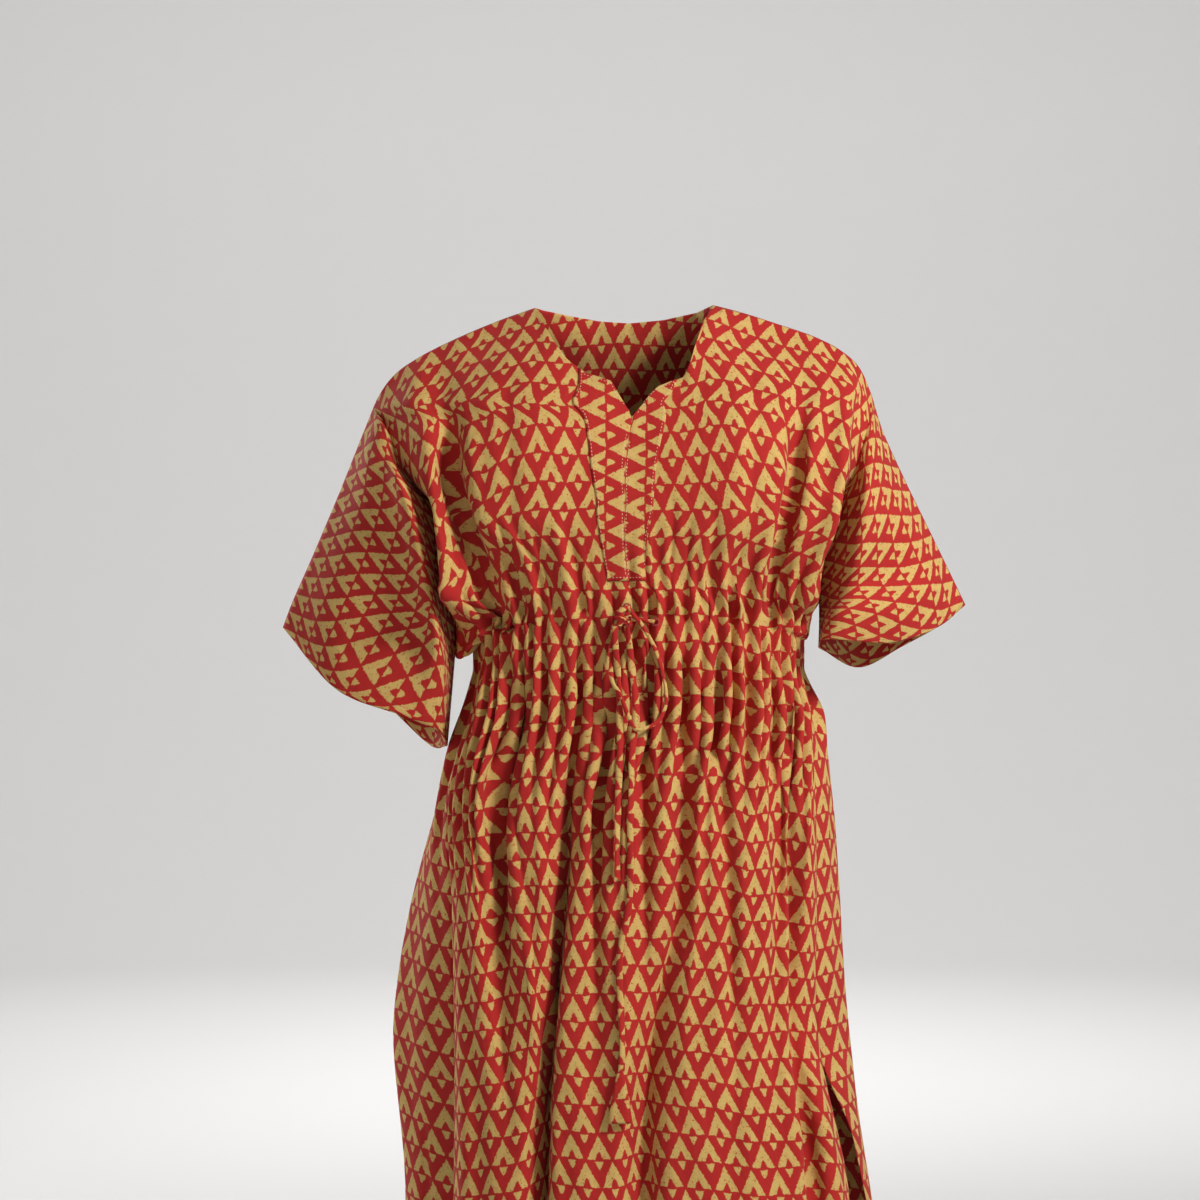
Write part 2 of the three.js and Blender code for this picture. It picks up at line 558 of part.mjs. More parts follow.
function mesh(name, geometry, look = FABRIC) {
  const piece = new THREE.Mesh(geometry, new THREE.MeshStandardMaterial(look));
  piece.name = name;
  return piece;
}

// A panel with the halves of both sleeves cut in one with it.
function panel(name, side) {
  const front = side === "front";
  const { rows, cols } = bodyRows(side);
  const points = [];
  const seams = new Set();
  const shift = (SEAM_GAP / 2) * (front ? -1 : 1);
  const add = (p, onSeam) => {
    points.push(onSeam ? [p[0], p[1] + shift, p[2]] : p);
    if (onSeam) seams.add(points.length - 1);
    return points.length - 1;
  };
  const neck = front ? NECK_FRONT : NECK_BACK;
  const onTop = (col) => col <= neck[0].col || col >= neck[neck.length - 1].col;
  const grid = rows.map((row, r) => row.map((p, col) => {
    const sideSeam = (col === 0 || col === cols) && r >= ARM_ROWS && p[2] > SLIT_TOP - 1;
    return add(p, (r === 0 && onTop(col)) || sideSeam);
  }));
  const quads = [];
  const quad = (a, b, c, d) => quads.push(front ? [a, d, c, b] : [a, b, c, d]);
  for (let r = 0; r < grid.length - 1; r += 1) {
    for (let col = 0; col < cols; col += 1) {
      quad(grid[r][col], grid[r][col + 1], grid[r + 1][col + 1], grid[r + 1][col]);
    }
  }
  const sleeves = [
    { line: TOP_LEFT, table: front ? LEFT_SLEEVE_FRONT : LEFT_SLEEVE_BACK, seam: LEFT_SEAM, col: 0, flip: true },
    { line: TOP_RIGHT, table: front ? RIGHT_SLEEVE_FRONT : RIGHT_SLEEVE_BACK, seam: RIGHT_SEAM, col: cols },
  ];
  sleeves.forEach(({ line, table, seam, col, flip }) => {
    let before = UPPER_ROWS.map((_, r) => grid[r][col]);
    for (let k = 1; k <= SLEEVE_CELLS; k += 1) {
      const section = sleeveSection(line, table, seam, k / SLEEVE_CELLS, ARM_ROWS);
      const now = section.map((p, r) => add(p, r === 0 || r === ARM_ROWS));
      for (let r = 0; r < ARM_ROWS; r += 1) {
        if (flip) quad(now[r], before[r], before[r + 1], now[r + 1]);
        else quad(before[r], now[r], now[r + 1], before[r + 1]);
      }
      before = now;
    }
  });
  const { geometry, outer } = wall(points, quads, (i) => seams.has(i), WALL);
  return { piece: mesh(name, geometry), outer: grid.map((row) => row.map((i) => outer[i])) };
}

// The band round the split lies on the front panel: its points are the panel's, moved out.
const BAND_LEFT = [35, 35, 35, 35.2, 35.6, 36, 36.4, 36.7, 37, 37];
const BAND_RIGHT = [49, 48.6, 48, 47.2, 46.4, 45.6, 45, 44.4, 44, 43.6];
const BAND_COLS = [0, 0.14, 0.29, 0.4, 0.5, 0.64, 0.79, 0.9, 1];
function placket(outer) {
  const thickness = 1;
  const at = (r, col) => {
    const k = Math.min(outer[r].length - 2, Math.floor(col));
    return outer[r][k].clone().lerp(outer[r][k + 1], col - k);
  };
  const points = [];
  const last = BAND_LEFT.length - 1;
  for (let r = 0; r <= last; r += 1) {
    BAND_COLS.forEach((share) => {
      const p = at(r, mix(BAND_LEFT[r], BAND_RIGHT[r], share));
      points.push([p.x, p.y - LAY_GAP - thickness / 2 - WALL * 0.2, p.z]);
    });
  }
  const wide = BAND_COLS.length;
  const quads = [];
  for (let r = 0; r < last; r += 1) {
    for (let k = 0; k < wide - 1; k += 1) {
      const a = r * wide + k;
      quads.push([a, a + wide, a + wide + 1, a + 1]);
    }
  }
  return mesh("placket", wall(points, quads, () => false, thickness).geometry);
}

function cord(name, points, diameter) {
  const curve = new THREE.CatmullRomCurve3(points.map((p) => new THREE.Vector3(...p)), false, "centripetal");
  const steps = Math.min(80, Math.max(3, Math.round(curve.getLength() / (diameter * 2.5))));
  const options = { steps, bevelEnabled: false, extrudePath: curve };
  const corners = Array.from({ length: CORD_SIDES }, (_, i) => {
    const turn = (i / CORD_SIDES) * 2 * Math.PI;
    return new THREE.Vector2(Math.cos(turn), Math.sin(turn)).multiplyScalar(diameter / 2);
  });
  return mesh(name, new THREE.ExtrudeGeometry(new THREE.Shape(corners), options));
}

// The tip is a scrap of cloth folded round the end of the cord: narrow at the top, wide and flat below.
function tip(name, { x, y, top, wide, tall, deep }) {
  const profile = [[0, 0], [0.16, 0], [0.2, -0.15], [0.34, -0.55], [0.5, -0.96], [0.46, -1], [0, -1]];
  const points = profile.map(([r, z]) => new THREE.Vector2(r * wide, z * tall)).reverse();
  const geometry = new THREE.LatheGeometry(points, 10);
  geometry.rotateX(Math.PI / 2);
  geometry.scale(1, deep / wide, 1);
  const piece = mesh(name, geometry);
  piece.position.set(x, y, top);
  return piece;
}

function knot() {
  const geometry = new THREE.SphereGeometry(0.5, 12, 8);
  const piece = mesh("tie_knot", geometry.scale(KNOT.wide, KNOT.deep, KNOT.tall));
  piece.position.set(KNOT.x, KNOT.y, KNOT.z);
  return piece;
}

const kaftan = new THREE.Group();
const front = panel("front_panel", "front");
kaftan.add(front.piece, panel("back_panel", "back").piece, placket(front.outer));
kaftan.add(knot(), cord("tie_cross", CROSS_RUN, CROSS_D), cord("tie_loop", LOOP_RUN, LOOP_D));
kaftan.add(cord("tie_long_end", LONG_RUN, END_D), cord("tie_short_end", SHORT_RUN, END_D));
kaftan.add(tip("tie_long_tip", LONG_TIP));

export default kaftan;
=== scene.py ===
# Drawstring-waist kaftan in block-printed cotton, dressed over its CAD frame.
# Metres, +Z up, the front faces -Y. The tables below are in millimetres, as in the part's source.
import math

import bpy
import numpy as np
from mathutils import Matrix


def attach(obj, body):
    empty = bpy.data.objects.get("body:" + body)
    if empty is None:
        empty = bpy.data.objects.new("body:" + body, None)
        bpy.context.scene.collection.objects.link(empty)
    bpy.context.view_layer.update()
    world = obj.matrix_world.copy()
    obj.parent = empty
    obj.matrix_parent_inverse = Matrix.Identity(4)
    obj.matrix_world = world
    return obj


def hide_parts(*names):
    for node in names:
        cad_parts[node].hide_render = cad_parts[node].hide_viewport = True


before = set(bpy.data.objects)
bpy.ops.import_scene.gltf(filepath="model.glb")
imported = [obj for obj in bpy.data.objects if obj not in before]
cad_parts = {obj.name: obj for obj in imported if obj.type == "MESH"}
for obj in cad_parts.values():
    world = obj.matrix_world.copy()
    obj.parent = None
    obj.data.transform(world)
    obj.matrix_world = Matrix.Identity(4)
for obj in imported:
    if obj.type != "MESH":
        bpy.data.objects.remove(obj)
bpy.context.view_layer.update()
MM = 0.001
# 1 where side_step points out of the cloth, and -1 where it points into it.
SIGN = {"front": 1, "back": -1}

# Cloth as it is cut, and the heights of the worn garment.
HALF_BODY = 300
SLEEVE_END = 550
NECK_HALF = 94
SLEEVE_DROP = 268
CASING_TOP = -332
CASING_END = -364
CASING_CUT = 372
UNDERARM_Z = -226
SLIT_TOP = -768
HEM = -1240
CLOTH = 0.7

# The casing hangs lower towards the sides by this much. The dip sets in above it and fades out below it.
CASING_DIP = 24
DIP_FROM = -275
DIP_RUN = 43
DIP_END = -480
DIP_FADE = 108

# Gathers: how many, their depth at the casing, and how much they swell below it and over which height.
GATHERS = {"front": 28, "back": 18}
GATHER_DEPTH = 4.3
GATHER_SWELL = 4.5
SWELL_RUN = 150
# Hollows between the gathers: their depth, how far above the casing's end they start, and their height.
HOLLOW_DEPTH = 6.5
HOLLOW_START = 14
HOLLOW_RUN = 270
# Skirt: how much deeper the front's valleys are cut than in the table, the height in which folds grow, how
# far round the side they reach, and the height in which the cloth's columns move into them.
VALLEY_DEPTH = 1.4
FOLD_GROWS = 40
FOLD_REACH = 20
SETTLE_RUN = 460
# Rows of the skirt: close together near the casing, wider apart below.
CLOSE_STEP = 12
CLOSE_END = -470
WIDE_STEP = 18

# The chest's depth is evened out above the underarm: over how much height this fades in, and the blur.
SOFT_RUN = 45
SOFT_ROWS = 6
SOFT_WIDTH = 3.4
# The bodice's columns draw together by this share, from this height and over this run.
DRAW_SHARE = 0.24
DRAW_FROM = -165
DRAW_RUN = 150
# Rows that lean towards the gathered waist, by how much, and over which height below the underarm.
LEAN_ROWS = (-240, -256, -272, -288, -300)
LEAN = 0.85
LEAN_RUN = 96
# Blouse that bags over the casing: height, sag, push outward, and the added push where it hangs fullest.
BAG_ROWS = ((-313, -24, 5.5, 19), (-320, -36, 4.6, 19), (-327, -24, 2.6, 13), (-330, -8, 1, 5))
# Share of the panel over which it hangs full, from the left side. The front's right side has a little too.
BAG_REACH = {"front": 0.17, "back": 0.15}
BAG_RIGHT = {"front": 0.2, "back": 0}
# Rows of the casing.
CASING_ROWS = (CASING_TOP - 2, -342, -354, CASING_END)

# Print: how much closer it lies at the hem of the left and the right sleeve than on flat cloth, the columns
# over which its height is evened out below the casing, and the depth and length of its small waves.
SLEEVE_PRINT = {-1: 1.25, 1: 1.04}
PRINT_BLUR = 26
PRINT_WAVES = ((2.2, 31), (1.6, 17), (1.3, 9.5), (0.8, 5.3))

# Grid of each panel: columns, key rows above the underarm and how they bunch at the top, rows made from each
# key row, columns of each sleeve, points of each dense arc, and the step between the bodice's level sections.
COLS = {"front": 224, "back": 162}
UPPER_KEYS = 22
UPPER_EASE = 1.25
UPSAMPLE = 2
SLEEVE_COLS = 34
ARC_POINTS = 400
LAYER = 6.0

# Fold of the shoulder and sleeve top, from the neck point to the sleeve tip.
TOP_LEFT = [
    (-95, 2, -2), (-132, 2, -15), (-175, 1, -33), (-217, 0, -54), (-244, 0, -73), (-260, 2, -94),
    (-276, 4, -131), (-302, 8, -195), (-334, 15, -269), (-355, 22, -315), (-365, 25, -341),
]
TOP_RIGHT = [
    (93, 2, 1), (127, 2, -8), (164, 1, -20), (201, 0, -33), (228, 0, -47), (247, 0, -64),
    (260, 2, -91), (272, 4, -129), (297, 8, -184), (329, 14, -248), (363, 20, -317),
]

# Neckline: share across the panel, x, y, z. The front one has the split at its middle.
NECK_FRONT = [
    (0.333, -95, 2, -2), (0.345, -88, -22, -17), (0.369, -75, -45, -41), (0.393, -61, -61, -61),
    (0.429, -42, -73, -77), (0.464, -15, -81, -86), (0.5, 6, -96, -124), (0.548, 33, -82, -92),
    (0.595, 60, -75, -81), (0.607, 67, -68, -65), (0.619, 74, -50, -42), (0.631, 82, -28, -20),
    (0.643, 93, 2, 1),
]
NECK_BACK = [
    (0.333, -95, 2, -2), (0.352, -86, 22, -3), (0.389, -62, 44, -6), (0.444, -28, 58, -11),
    (0.5, 5, 61, -13), (0.556, 42, 55, -10), (0.611, 78, 32, -4), (0.643, 93, 2, 1),
]

# Bodice folds: where each runs at six heights, x across and y in depth.
BODICE_LEVELS = [-25, -75, -130, -180, -230, -290]
BODICE_FRONT = [
    ("left arm ridge", [-235, -222, -207, -203, -196, -191], [-16, -44, -80, -94, -101, -104]),
    ("left arm hollow", [-205, -195, -186, -182, -168, -148], [-24, -48, -72, -77, -80, -82]),
    ("left bust ridge", [-180, -166, -160, -154, -146, -126], [-34, -62, -93, -106, -112, -112]),
    ("left bust", [-110, -106, -103, -100, -98, -86], [-38, -74, -110, -122, -124, -118]),
    ("left of split", [-50, -46, -42, -40, -38, -32], [-50, -78, -105, -117, -119, -113]),
    ("middle", [6, 8, 12, 14, 15, 14], [-55, -80, -100, -112, -115, -110]),
    ("right of split", [62, 66, 68, 67, 66, 60], [-50, -77, -105, -117, -119, -113]),
    ("right bust", [118, 119, 120, 118, 113, 103], [-38, -74, -110, -122, -123, -117]),
    ("right bust ridge", [160, 160, 160, 156, 149, 139], [-30, -64, -98, -110, -113, -113]),
    ("right hollow", [180, 180, 178, 174, 165, 155], [-27, -56, -82, -88, -90, -91]),
    ("right side ridge", [198, 196, 191, 186, 178, 168], [-26, -56, -88, -98, -102, -104]),
    ("right side", [214, 212, 210, 206, 199, 188], [-22, -50, -80, -90, -96, -99]),
    ("right arm ridge", [240, 235, 229, 226, 221, 209], [-16, -42, -76, -91, -98, -100]),
]
BODICE_BACK = [
    ("left arm ridge", [-235, -226, -212, -204, -196, -186], [20, 44, 62, 72, 78, 80]),
    ("left blade", [-150, -146, -140, -134, -128, -116], [40, 74, 94, 101, 102, 97]),
    ("left hollow", [-100, -92, -84, -80, -76, -68], [48, 80, 93, 95, 94, 88]),
    ("left inner ridge", [-60, -54, -48, -46, -44, -38], [52, 82, 98, 102, 102, 96]),
    ("middle", [6, 8, 12, 14, 15, 15], [54, 80, 92, 94, 93, 87]),
    ("right inner ridge", [70, 72, 74, 74, 74, 68], [52, 82, 98, 102, 102, 96]),
    ("right hollow", [112, 112, 112, 110, 106, 98], [46, 78, 92, 95, 94, 88]),
    ("right blade", [164, 166, 166, 164, 158, 146], [38, 72, 93, 101, 102, 97]),
    ("right arm ridge", [240, 240, 236, 232, 226, 214], [20, 42, 60, 72, 78, 80]),
]

# Sleeves: a row for each section, from the armhole to the sleeve hem. The points run round the arm from the
# top fold to the under-sleeve seam, which front and back share.
LEFT_SEAM = [
    (-168, 0, -226), (-172, -2, -273), (-176, -3, -321), (-180, -4, -370), (-184, -5, -418), (-188, -6, -466),
]
RIGHT_SEAM = [
    (190, 0, -226), (200, -3, -256), (204, -6, -284), (205, -9, -312), (205, -12, -338), (204, -15, -362),
]
LEFT_SLEEVE_FRONT = [
    [(-256, -32, -124), (-243, -43, -150), (-225, -37, -190)],
    [(-270, -38, -168), (-251, -56, -173), (-234, -78, -186)],
    [(-275, -36, -214), (-236, -62, -238), (-217, -86, -242)],
    [(-288, -34, -268), (-224, -64, -300), (-206, -86, -300)],
    [(-304, -30, -330), (-212, -62, -356), (-195, -80, -358)],
    [(-298, -42, -408), (-232, -62, -432), (-196, -48, -448)],
]
LEFT_SLEEVE_BACK = [
    [(-252, 34, -128), (-236, 48, -160), (-210, 42, -198)],
    [(-268, 44, -175), (-246, 62, -205), (-216, 54, -245)],
    [(-282, 50, -228), (-252, 68, -260), (-218, 58, -295)],
    [(-299, 54, -278), (-258, 74, -315), (-218, 62, -350)],
    [(-313, 56, -325), (-264, 76, -368), (-216, 62, -408)],
    [(-320, 60, -376), (-266, 74, -418), (-210, 58, -468)],
]
RIGHT_SLEEVE_FRONT = [
    [(258, -30, -122), (248, -43, -152), (236, -38, -190)],
    [(268, -36, -162), (257, -60, -182), (246, -74, -206)],
    [(285, -34, -210), (266, -62, -234), (241, -79, -258)],
    [(305, -26, -260), (272, -50, -282), (234, -70, -298)],
    [(322, -26, -300), (282, -60, -318), (220, -82, -326)],
    [(330, -16, -340), (278, -52, -356), (208, -78, -352)],
]
RIGHT_SLEEVE_BACK = [
    [(254, 34, -122), (244, 48, -155), (226, 42, -195)],
    [(267, 44, -166), (251, 62, -195), (234, 54, -232)],
    [(285, 50, -216), (264, 68, -245), (240, 58, -275)],
    [(305, 54, -262), (277, 72, -292), (246, 60, -318)],
    [(324, 54, -303), (289, 70, -330), (250, 58, -354)],
    [(336, 50, -341), (300, 66, -362), (256, 54, -384)],
]

# Girth of the skirt by height: left seam, right seam, front crest, back crest, widest points of the back.
GIRTH_LEVELS = [-332, -364, -420, -520, -620, -768, -930, -1240]
GIRTH = [
    (-152, -8, 183, -8, -106, 84, -156, 187),
    (-152, -8, 183, -8, -106, 84, -156, 187),
    (-158, -22, 192, -22, -114, 94, -166, 206),
    (-184, -42, 198, -38, -124, 108, -201, 220),
    (-181, -52, 199, -44, -131, 120, -226, 226),
    (-178, -60, 201, -45, -140, 132, -247, 236),
    (-178, -70, 232, -54, -147, 145, -236, 262),
    (-182, -86, 250, -66, -156, 160, -228, 300),
]
BACK_EDGE_LEVELS = [-768, -880, -1240]
BACK_EDGE = [(-178, -60, 201, -45), (-170, -44, 240, -34), (-166, -40, 298, -18)]

# Skirt folds at seven heights: where each runs, its depth and its width. A ridge has a depth below 0.
FOLD_LEVELS = [-415, -515, -620, -720, -820, -920, -1240]
SKIRT_FRONT_FOLDS = [
    ([-141, -152, -153, -150, -148, -148, -150], [-4, -8, -6, -3, 0, 0, 0], [9, 10, 12, 14, 14, 14, 14]),
    ([-108, -129, -131, -128, -125, -122, -120], [18, 26, 20, 8, 2, 0, 0], [7, 9, 9, 9, 9, 9, 9]),
    ([-45, -60, -68, -78, -86, -90, -112], [14, 24, 31, 34, 34, 33, 30], [6, 7, 8, 8, 8, 8, 10]),
    ([-23, -26, -30, -32, -34, -36, -40], [11, 12, 8, 3, 0, 0, 0], [6, 6, 6, 6, 6, 6, 6]),
    ([2, -4, -4, -6, 2, 4, 6], [-5, -5, -4, -4, -5, -6, -6], [9, 10, 12, 14, 18, 20, 24]),
    ([19, 19, 19, 20, 21, 22, 24], [13, 12, 6, 2, 0, 0, 0], [6, 6, 6, 6, 6, 6, 6]),
    ([63, 60, 55, 34, 22, 17, 5], [13, 14, 15, 20, 24, 26, 28], [7, 8, 11, 16, 18, 20, 24]),
    ([91, 101, 106, 111, 112, 112, 112], [8, 9, 9, 7, 3, 0, 0], [6, 7, 8, 9, 9, 9, 9]),
    ([152, 160, 162, 157, 155, 155, 155], [4, 10, 12, 8, 2, 0, 0], [7, 8, 9, 9, 9, 9, 9]),
    ([172, 178, 183, 187, 192, 194, 206], [4, 12, 16, 16, 14, 12, 12], [6, 7, 7, 8, 8, 9, 10]),
]
SKIRT_BACK_FOLDS = [
    ([-130, -170, -186, -196, -200, -196, -190], [6, 10, 12, 12, 10, 8, 8], [7, 9, 12, 14, 14, 14, 14]),
    ([-84, -104, -118, -124, -128, -130, -134], [8, 14, 20, 24, 26, 26, 26], [7, 8, 10, 12, 13, 14, 16]),
    ([-28, -34, -38, -42, -46, -48, -52], [8, 13, 14, 10, 6, 4, 2], [6, 8, 9, 10, 10, 10, 10]),
    ([28, 30, 34, 36, 38, 38, 40], [8, 15, 22, 26, 28, 28, 28], [7, 8, 10, 12, 14, 15, 18]),
    ([88, 96, 104, 110, 114, 116, 120], [8, 13, 12, 8, 5, 3, 2], [6, 8, 9, 10, 10, 10, 10]),
    ([138, 160, 172, 180, 186, 190, 200], [7, 12, 18, 22, 24, 24, 24], [7, 8, 10, 12, 13, 14, 16]),
]

# Creases of the front's bodice: depth (a ridge is below 0), width and the track as (x, z) points.
BODICE_CREASES = [
    (13, 9, [(-183, -120), (-180, -190), (-172, -215), (-156, -263), (-144, -299), (-124, -330)]),
    (-4, 8, [(-162, -110), (-155, -209), (-129, -281), (-109, -330)]),
    (5, 6, [(-130, -240), (-112, -285), (-98, -330)]),
    (6, 5, [(-96, -232), (-84, -280), (-66, -345)]),
    (7, 5, [(-60, -236), (-50, -275), (-37, -345)]),
    (-4, 6, [(-72, -215), (-66, -270), (-52, -335)]),
    (5, 4.5, [(30, -219), (29, -270), (27, -335)]),
    (5, 4.5, [(48, -205), (47, -270), (45, -335)]),
    (5, 4.5, [(66, -219), (63, -270), (60, -335)]),
    (6, 5, [(92, -210), (88, -270), (84, -335)]),
    (6, 5, [(122, -230), (115, -280), (108, -335)]),
    (11, 8, [(178, -125), (176, -178), (169, -209), (161, -250), (156, -281), (148, -330)]),
    (-4, 7, [(162, -140), (156, -200), (146, -260), (132, -330)]),
    (6, 7, [(246, -92), (238, -160), (224, -230), (206, -300), (194, -345)]),
    (-3, 8, [(228, -74), (228, -128), (225, -190), (218, -251), (206, -300), (184, -343)]),
    (3, 9, [(-120, -60), (-124, -130), (-118, -190)]),
    (3, 9, [(128, -50), (134, -120), (130, -180)]),
]
# Long soft folds over each panel, by seed: how many, and the depth and width that they vary about.
LOOSE_FOLDS = {"front": (30, 3.4, 9), "back": (30, 4.2, 11)}

# Drawstring: its runs as listed points, as in the part's source.
KNOT = (-5, -120.8, -328.5)
KNOT_SIZE = (13, 11, 19)
CROSS_RUN = [(30, -113.8, -334), (22, -114.6, -333), (13, -117, -331.5), (2.3, -119, -330.5)]
LOOP_RUN = [
    (1.5, -119.6, -318), (8, -122.6, -327), (14, -122.8, -334), (20, -119, -343), (30, -114, -362),
    (37.5, -115.5, -385), (41, -118, -405), (40.4, -119, -420), (33.5, -122, -434), (22, -127, -441.5),
    (10, -130.6, -443), (2, -129, -429), (-7, -128.2, -406), (-12.5, -127, -398), (-15, -120.5, -388),
    (-15, -113.5, -374), (-14.5, -112, -358), (-11, -112.2, -343), (-6, -116.5, -339.2),
]
LONG_RUN = [
    (0.8, -120.5, -336.8), (2, -117, -346), (4, -114.8, -362), (7, -117, -390), (10, -121, -414),
    (10, -124.8, -437), (7, -127.4, -458), (5, -131.5, -515), (4, -135.2, -560), (4, -138, -607),
    (0, -140.3, -637), (-6, -141.4, -665), (-7, -142.8, -692), (-5, -145.2, -730), (-4, -147.7, -770),
    (-5, -148, -788),
]
SHORT_RUN = [
    (-10.6, -121.2, -336.8), (-11.5, -119, -347), (-10.5, -117.6, -362), (-9, -118, -376),
    (-7.5, -121.6, -400), (-7, -122.6, -413), (-6, -125.4, -452), (-8, -133, -515), (-9, -135.6, -560),
    (-9, -137.4, -595),
]
LONG_TIP = (-6, -148.2, -788.6)
LONG_TIP_SIZE = (24, 6.4, 52)

# Each side's own tables.
NECK = {"front": NECK_FRONT, "back": NECK_BACK}
BODICE = {"front": BODICE_FRONT, "back": BODICE_BACK}
SKIRT_FOLDS = {"front": SKIRT_FRONT_FOLDS, "back": SKIRT_BACK_FOLDS}
SLEEVES = {
    "front": ((TOP_LEFT, LEFT_SLEEVE_FRONT, LEFT_SEAM), (TOP_RIGHT, RIGHT_SLEEVE_FRONT, RIGHT_SEAM)),
    "back": ((TOP_LEFT, LEFT_SLEEVE_BACK, LEFT_SEAM), (TOP_RIGHT, RIGHT_SLEEVE_BACK, RIGHT_SEAM)),
}


def at_height(levels, values, z):
    """Smooth value at z of a table kept at falling levels. values is (levels, ...); z is a number."""
    levels = np.asarray(levels, float)
    values = np.asarray(values, float)
    if z >= levels[0]:
        return values[0]
    if z <= levels[-1]:
        return values[-1]
    k = int(np.searchsorted(-levels, -z, side="right")) - 1
    k = min(k, len(levels) - 2)
    step = levels[k] - levels[k + 1]
    t = (levels[k] - z) / step

    def slope(i):
        if i <= 0 or i >= len(levels) - 1:
            return np.zeros_like(values[0])
        return (values[i + 1] - values[i - 1]) / (levels[i - 1] - levels[i + 1])

    a, b = values[k], values[k + 1]
    ma, mb = slope(k) * step, slope(k + 1) * step
    return ((2 * t ** 3 - 3 * t ** 2 + 1) * a + (t ** 3 - 2 * t ** 2 + t) * ma
            + (3 * t ** 2 - 2 * t ** 3) * b + (t ** 3 - t ** 2) * mb)


def lengths(points):
    """Length of a polyline up to each of its points."""
    steps = np.linalg.norm(np.diff(np.asarray(points, float), axis=0), axis=1)
    return np.concatenate([[0], np.cumsum(steps)])


def pick(points, order, places):
    """Points of a polyline at places in an order that rises along it."""
    return np.stack([np.interp(places, order, points[:, k]) for k in range(points.shape[1])], axis=1)


def even(points, shares):
    """Points at shares of a polyline's length."""
    points = np.asarray(points, float)
    length = lengths(points)
    return pick(points, length, np.asarray(shares) * length[-1])


def ease(t):
    """0 to 1 with a soft start and a soft end."""
    return t * t * (3 - 2 * t)


def unit(vector):
    return vector / (np.linalg.norm(vector) + 1e-9)


def fade_ends(count, over):
    """0 at both ends of a row of points, 1 from that many points inwards."""
    order = np.arange(count)
    return np.clip(np.minimum(order, order[::-1]) / over, 0, 1)


def blurred(values, half, width):
    """Values evened out along their first axis by a bell that reaches half rows to each side."""
    bell = np.exp(-(np.arange(-half, half + 1) / width) ** 2)
    bell /= bell.sum()
    padded = np.concatenate([values[:1]] * half + [values] + [values[-1:]] * half)
    return sum(k * padded[i:i + len(values)] for i, k in enumerate(bell))


def smooth(points, per=16):
    """Centripetal Catmull-Rom curve through points, as a dense polyline."""
    p = np.asarray(points, float)
    p = np.vstack([2 * p[0] - p[1], p, 2 * p[-1] - p[-2]])
    knots = np.concatenate([[0], np.cumsum(np.sqrt(np.linalg.norm(np.diff(p, axis=0), axis=1)) + 1e-6)])
    out = []
    for i in range(1, len(p) - 2):
        t0, t1, t2, t3 = knots[i - 1:i + 3]
        t = np.linspace(t1, t2, per, endpoint=False)[:, None]
        a1 = (t1 - t) / (t1 - t0) * p[i - 1] + (t - t0) / (t1 - t0) * p[i]
        a2 = (t2 - t) / (t2 - t1) * p[i] + (t - t1) / (t2 - t1) * p[i + 1]
        a3 = (t3 - t) / (t3 - t2) * p[i + 1] + (t - t2) / (t3 - t2) * p[i + 2]
        b1 = (t2 - t) / (t2 - t0) * a1 + (t - t0) / (t2 - t0) * a2
        b2 = (t3 - t) / (t3 - t1) * a2 + (t - t1) / (t3 - t1) * a3
        out.append((t2 - t) / (t2 - t1) * b1 + (t - t1) / (t2 - t1) * b2)
    out.append(p[-2][None, :])
    return np.vstack(out)


ARMHOLE = (HALF_BODY - NECK_HALF) / (SLEEVE_END - NECK_HALF)


def sleeve_section(line, table, seam, at):
    """Dense curve across a sleeve: at is 0 at the armhole and 1 at the hem."""
    levels = -np.arange(len(table), dtype=float)
    rows = np.array([list(inner) + [end] for inner, end in zip(table, seam)], float)
    here = at_height(levels, rows, -at * (len(table) - 1))
    top = even(smooth(line), [ARMHOLE + (1 - ARMHOLE) * at])
    return smooth(np.vstack([top, here]))


def front_arc(z):
    """The front's course at z: a bow from seam to seam."""
    xl, yl, xr, yr, crest = at_height(GIRTH_LEVELS, GIRTH, z)[:5]
    turn = np.linspace(0, math.pi, ARC_POINTS)
    x = (xl + xr) / 2 - (xr - xl) / 2 * np.cos(turn)
    edge = yl + (yr - yl) * turn / math.pi
    y = edge + (crest - edge) * np.sin(turn) ** 0.8
    return np.stack([x, y, np.full_like(x, z)], axis=1)


def back_arc(z):
    """The back's course at z: its edges, then a bow between its widest points."""
    row = at_height(GIRTH_LEVELS, GIRTH, z)
    crest, wide_l, wide_r = row[5:]
    xl, yl, xr, yr = row[:4] if z >= SLIT_TOP else at_height(BACK_EDGE_LEVELS, BACK_EDGE, z)
    side = 8 + 12 * min(1, max(0, (CASING_END - z) / 400))
    mid, half = (wide_l + wide_r) / 2, (wide_r - wide_l) / 2
    points = [(xl, yl, z), (xl + 0.75 * (wide_l - xl), (yl + side) / 2, z)]
    for turn in np.linspace(0, math.pi, 11):
        points.append((mid - half * math.cos(turn), side + (crest - side) * math.sin(turn) ** 0.8, z))
    points += [(xr + 0.75 * (wide_r - xr), (yr + side) / 2, z), (xr, yr, z)]
    return even(smooth(points), np.linspace(0, 1, ARC_POINTS))


def side_step(row):
    """Unit vector to the right of a row's course, in the level plane: outward on the front."""
    along = np.gradient(row[:, :2], axis=0)
    along /= np.linalg.norm(along, axis=1)[:, None] + 1e-9
    return np.stack([along[:, 1], -along[:, 0]], axis=1)


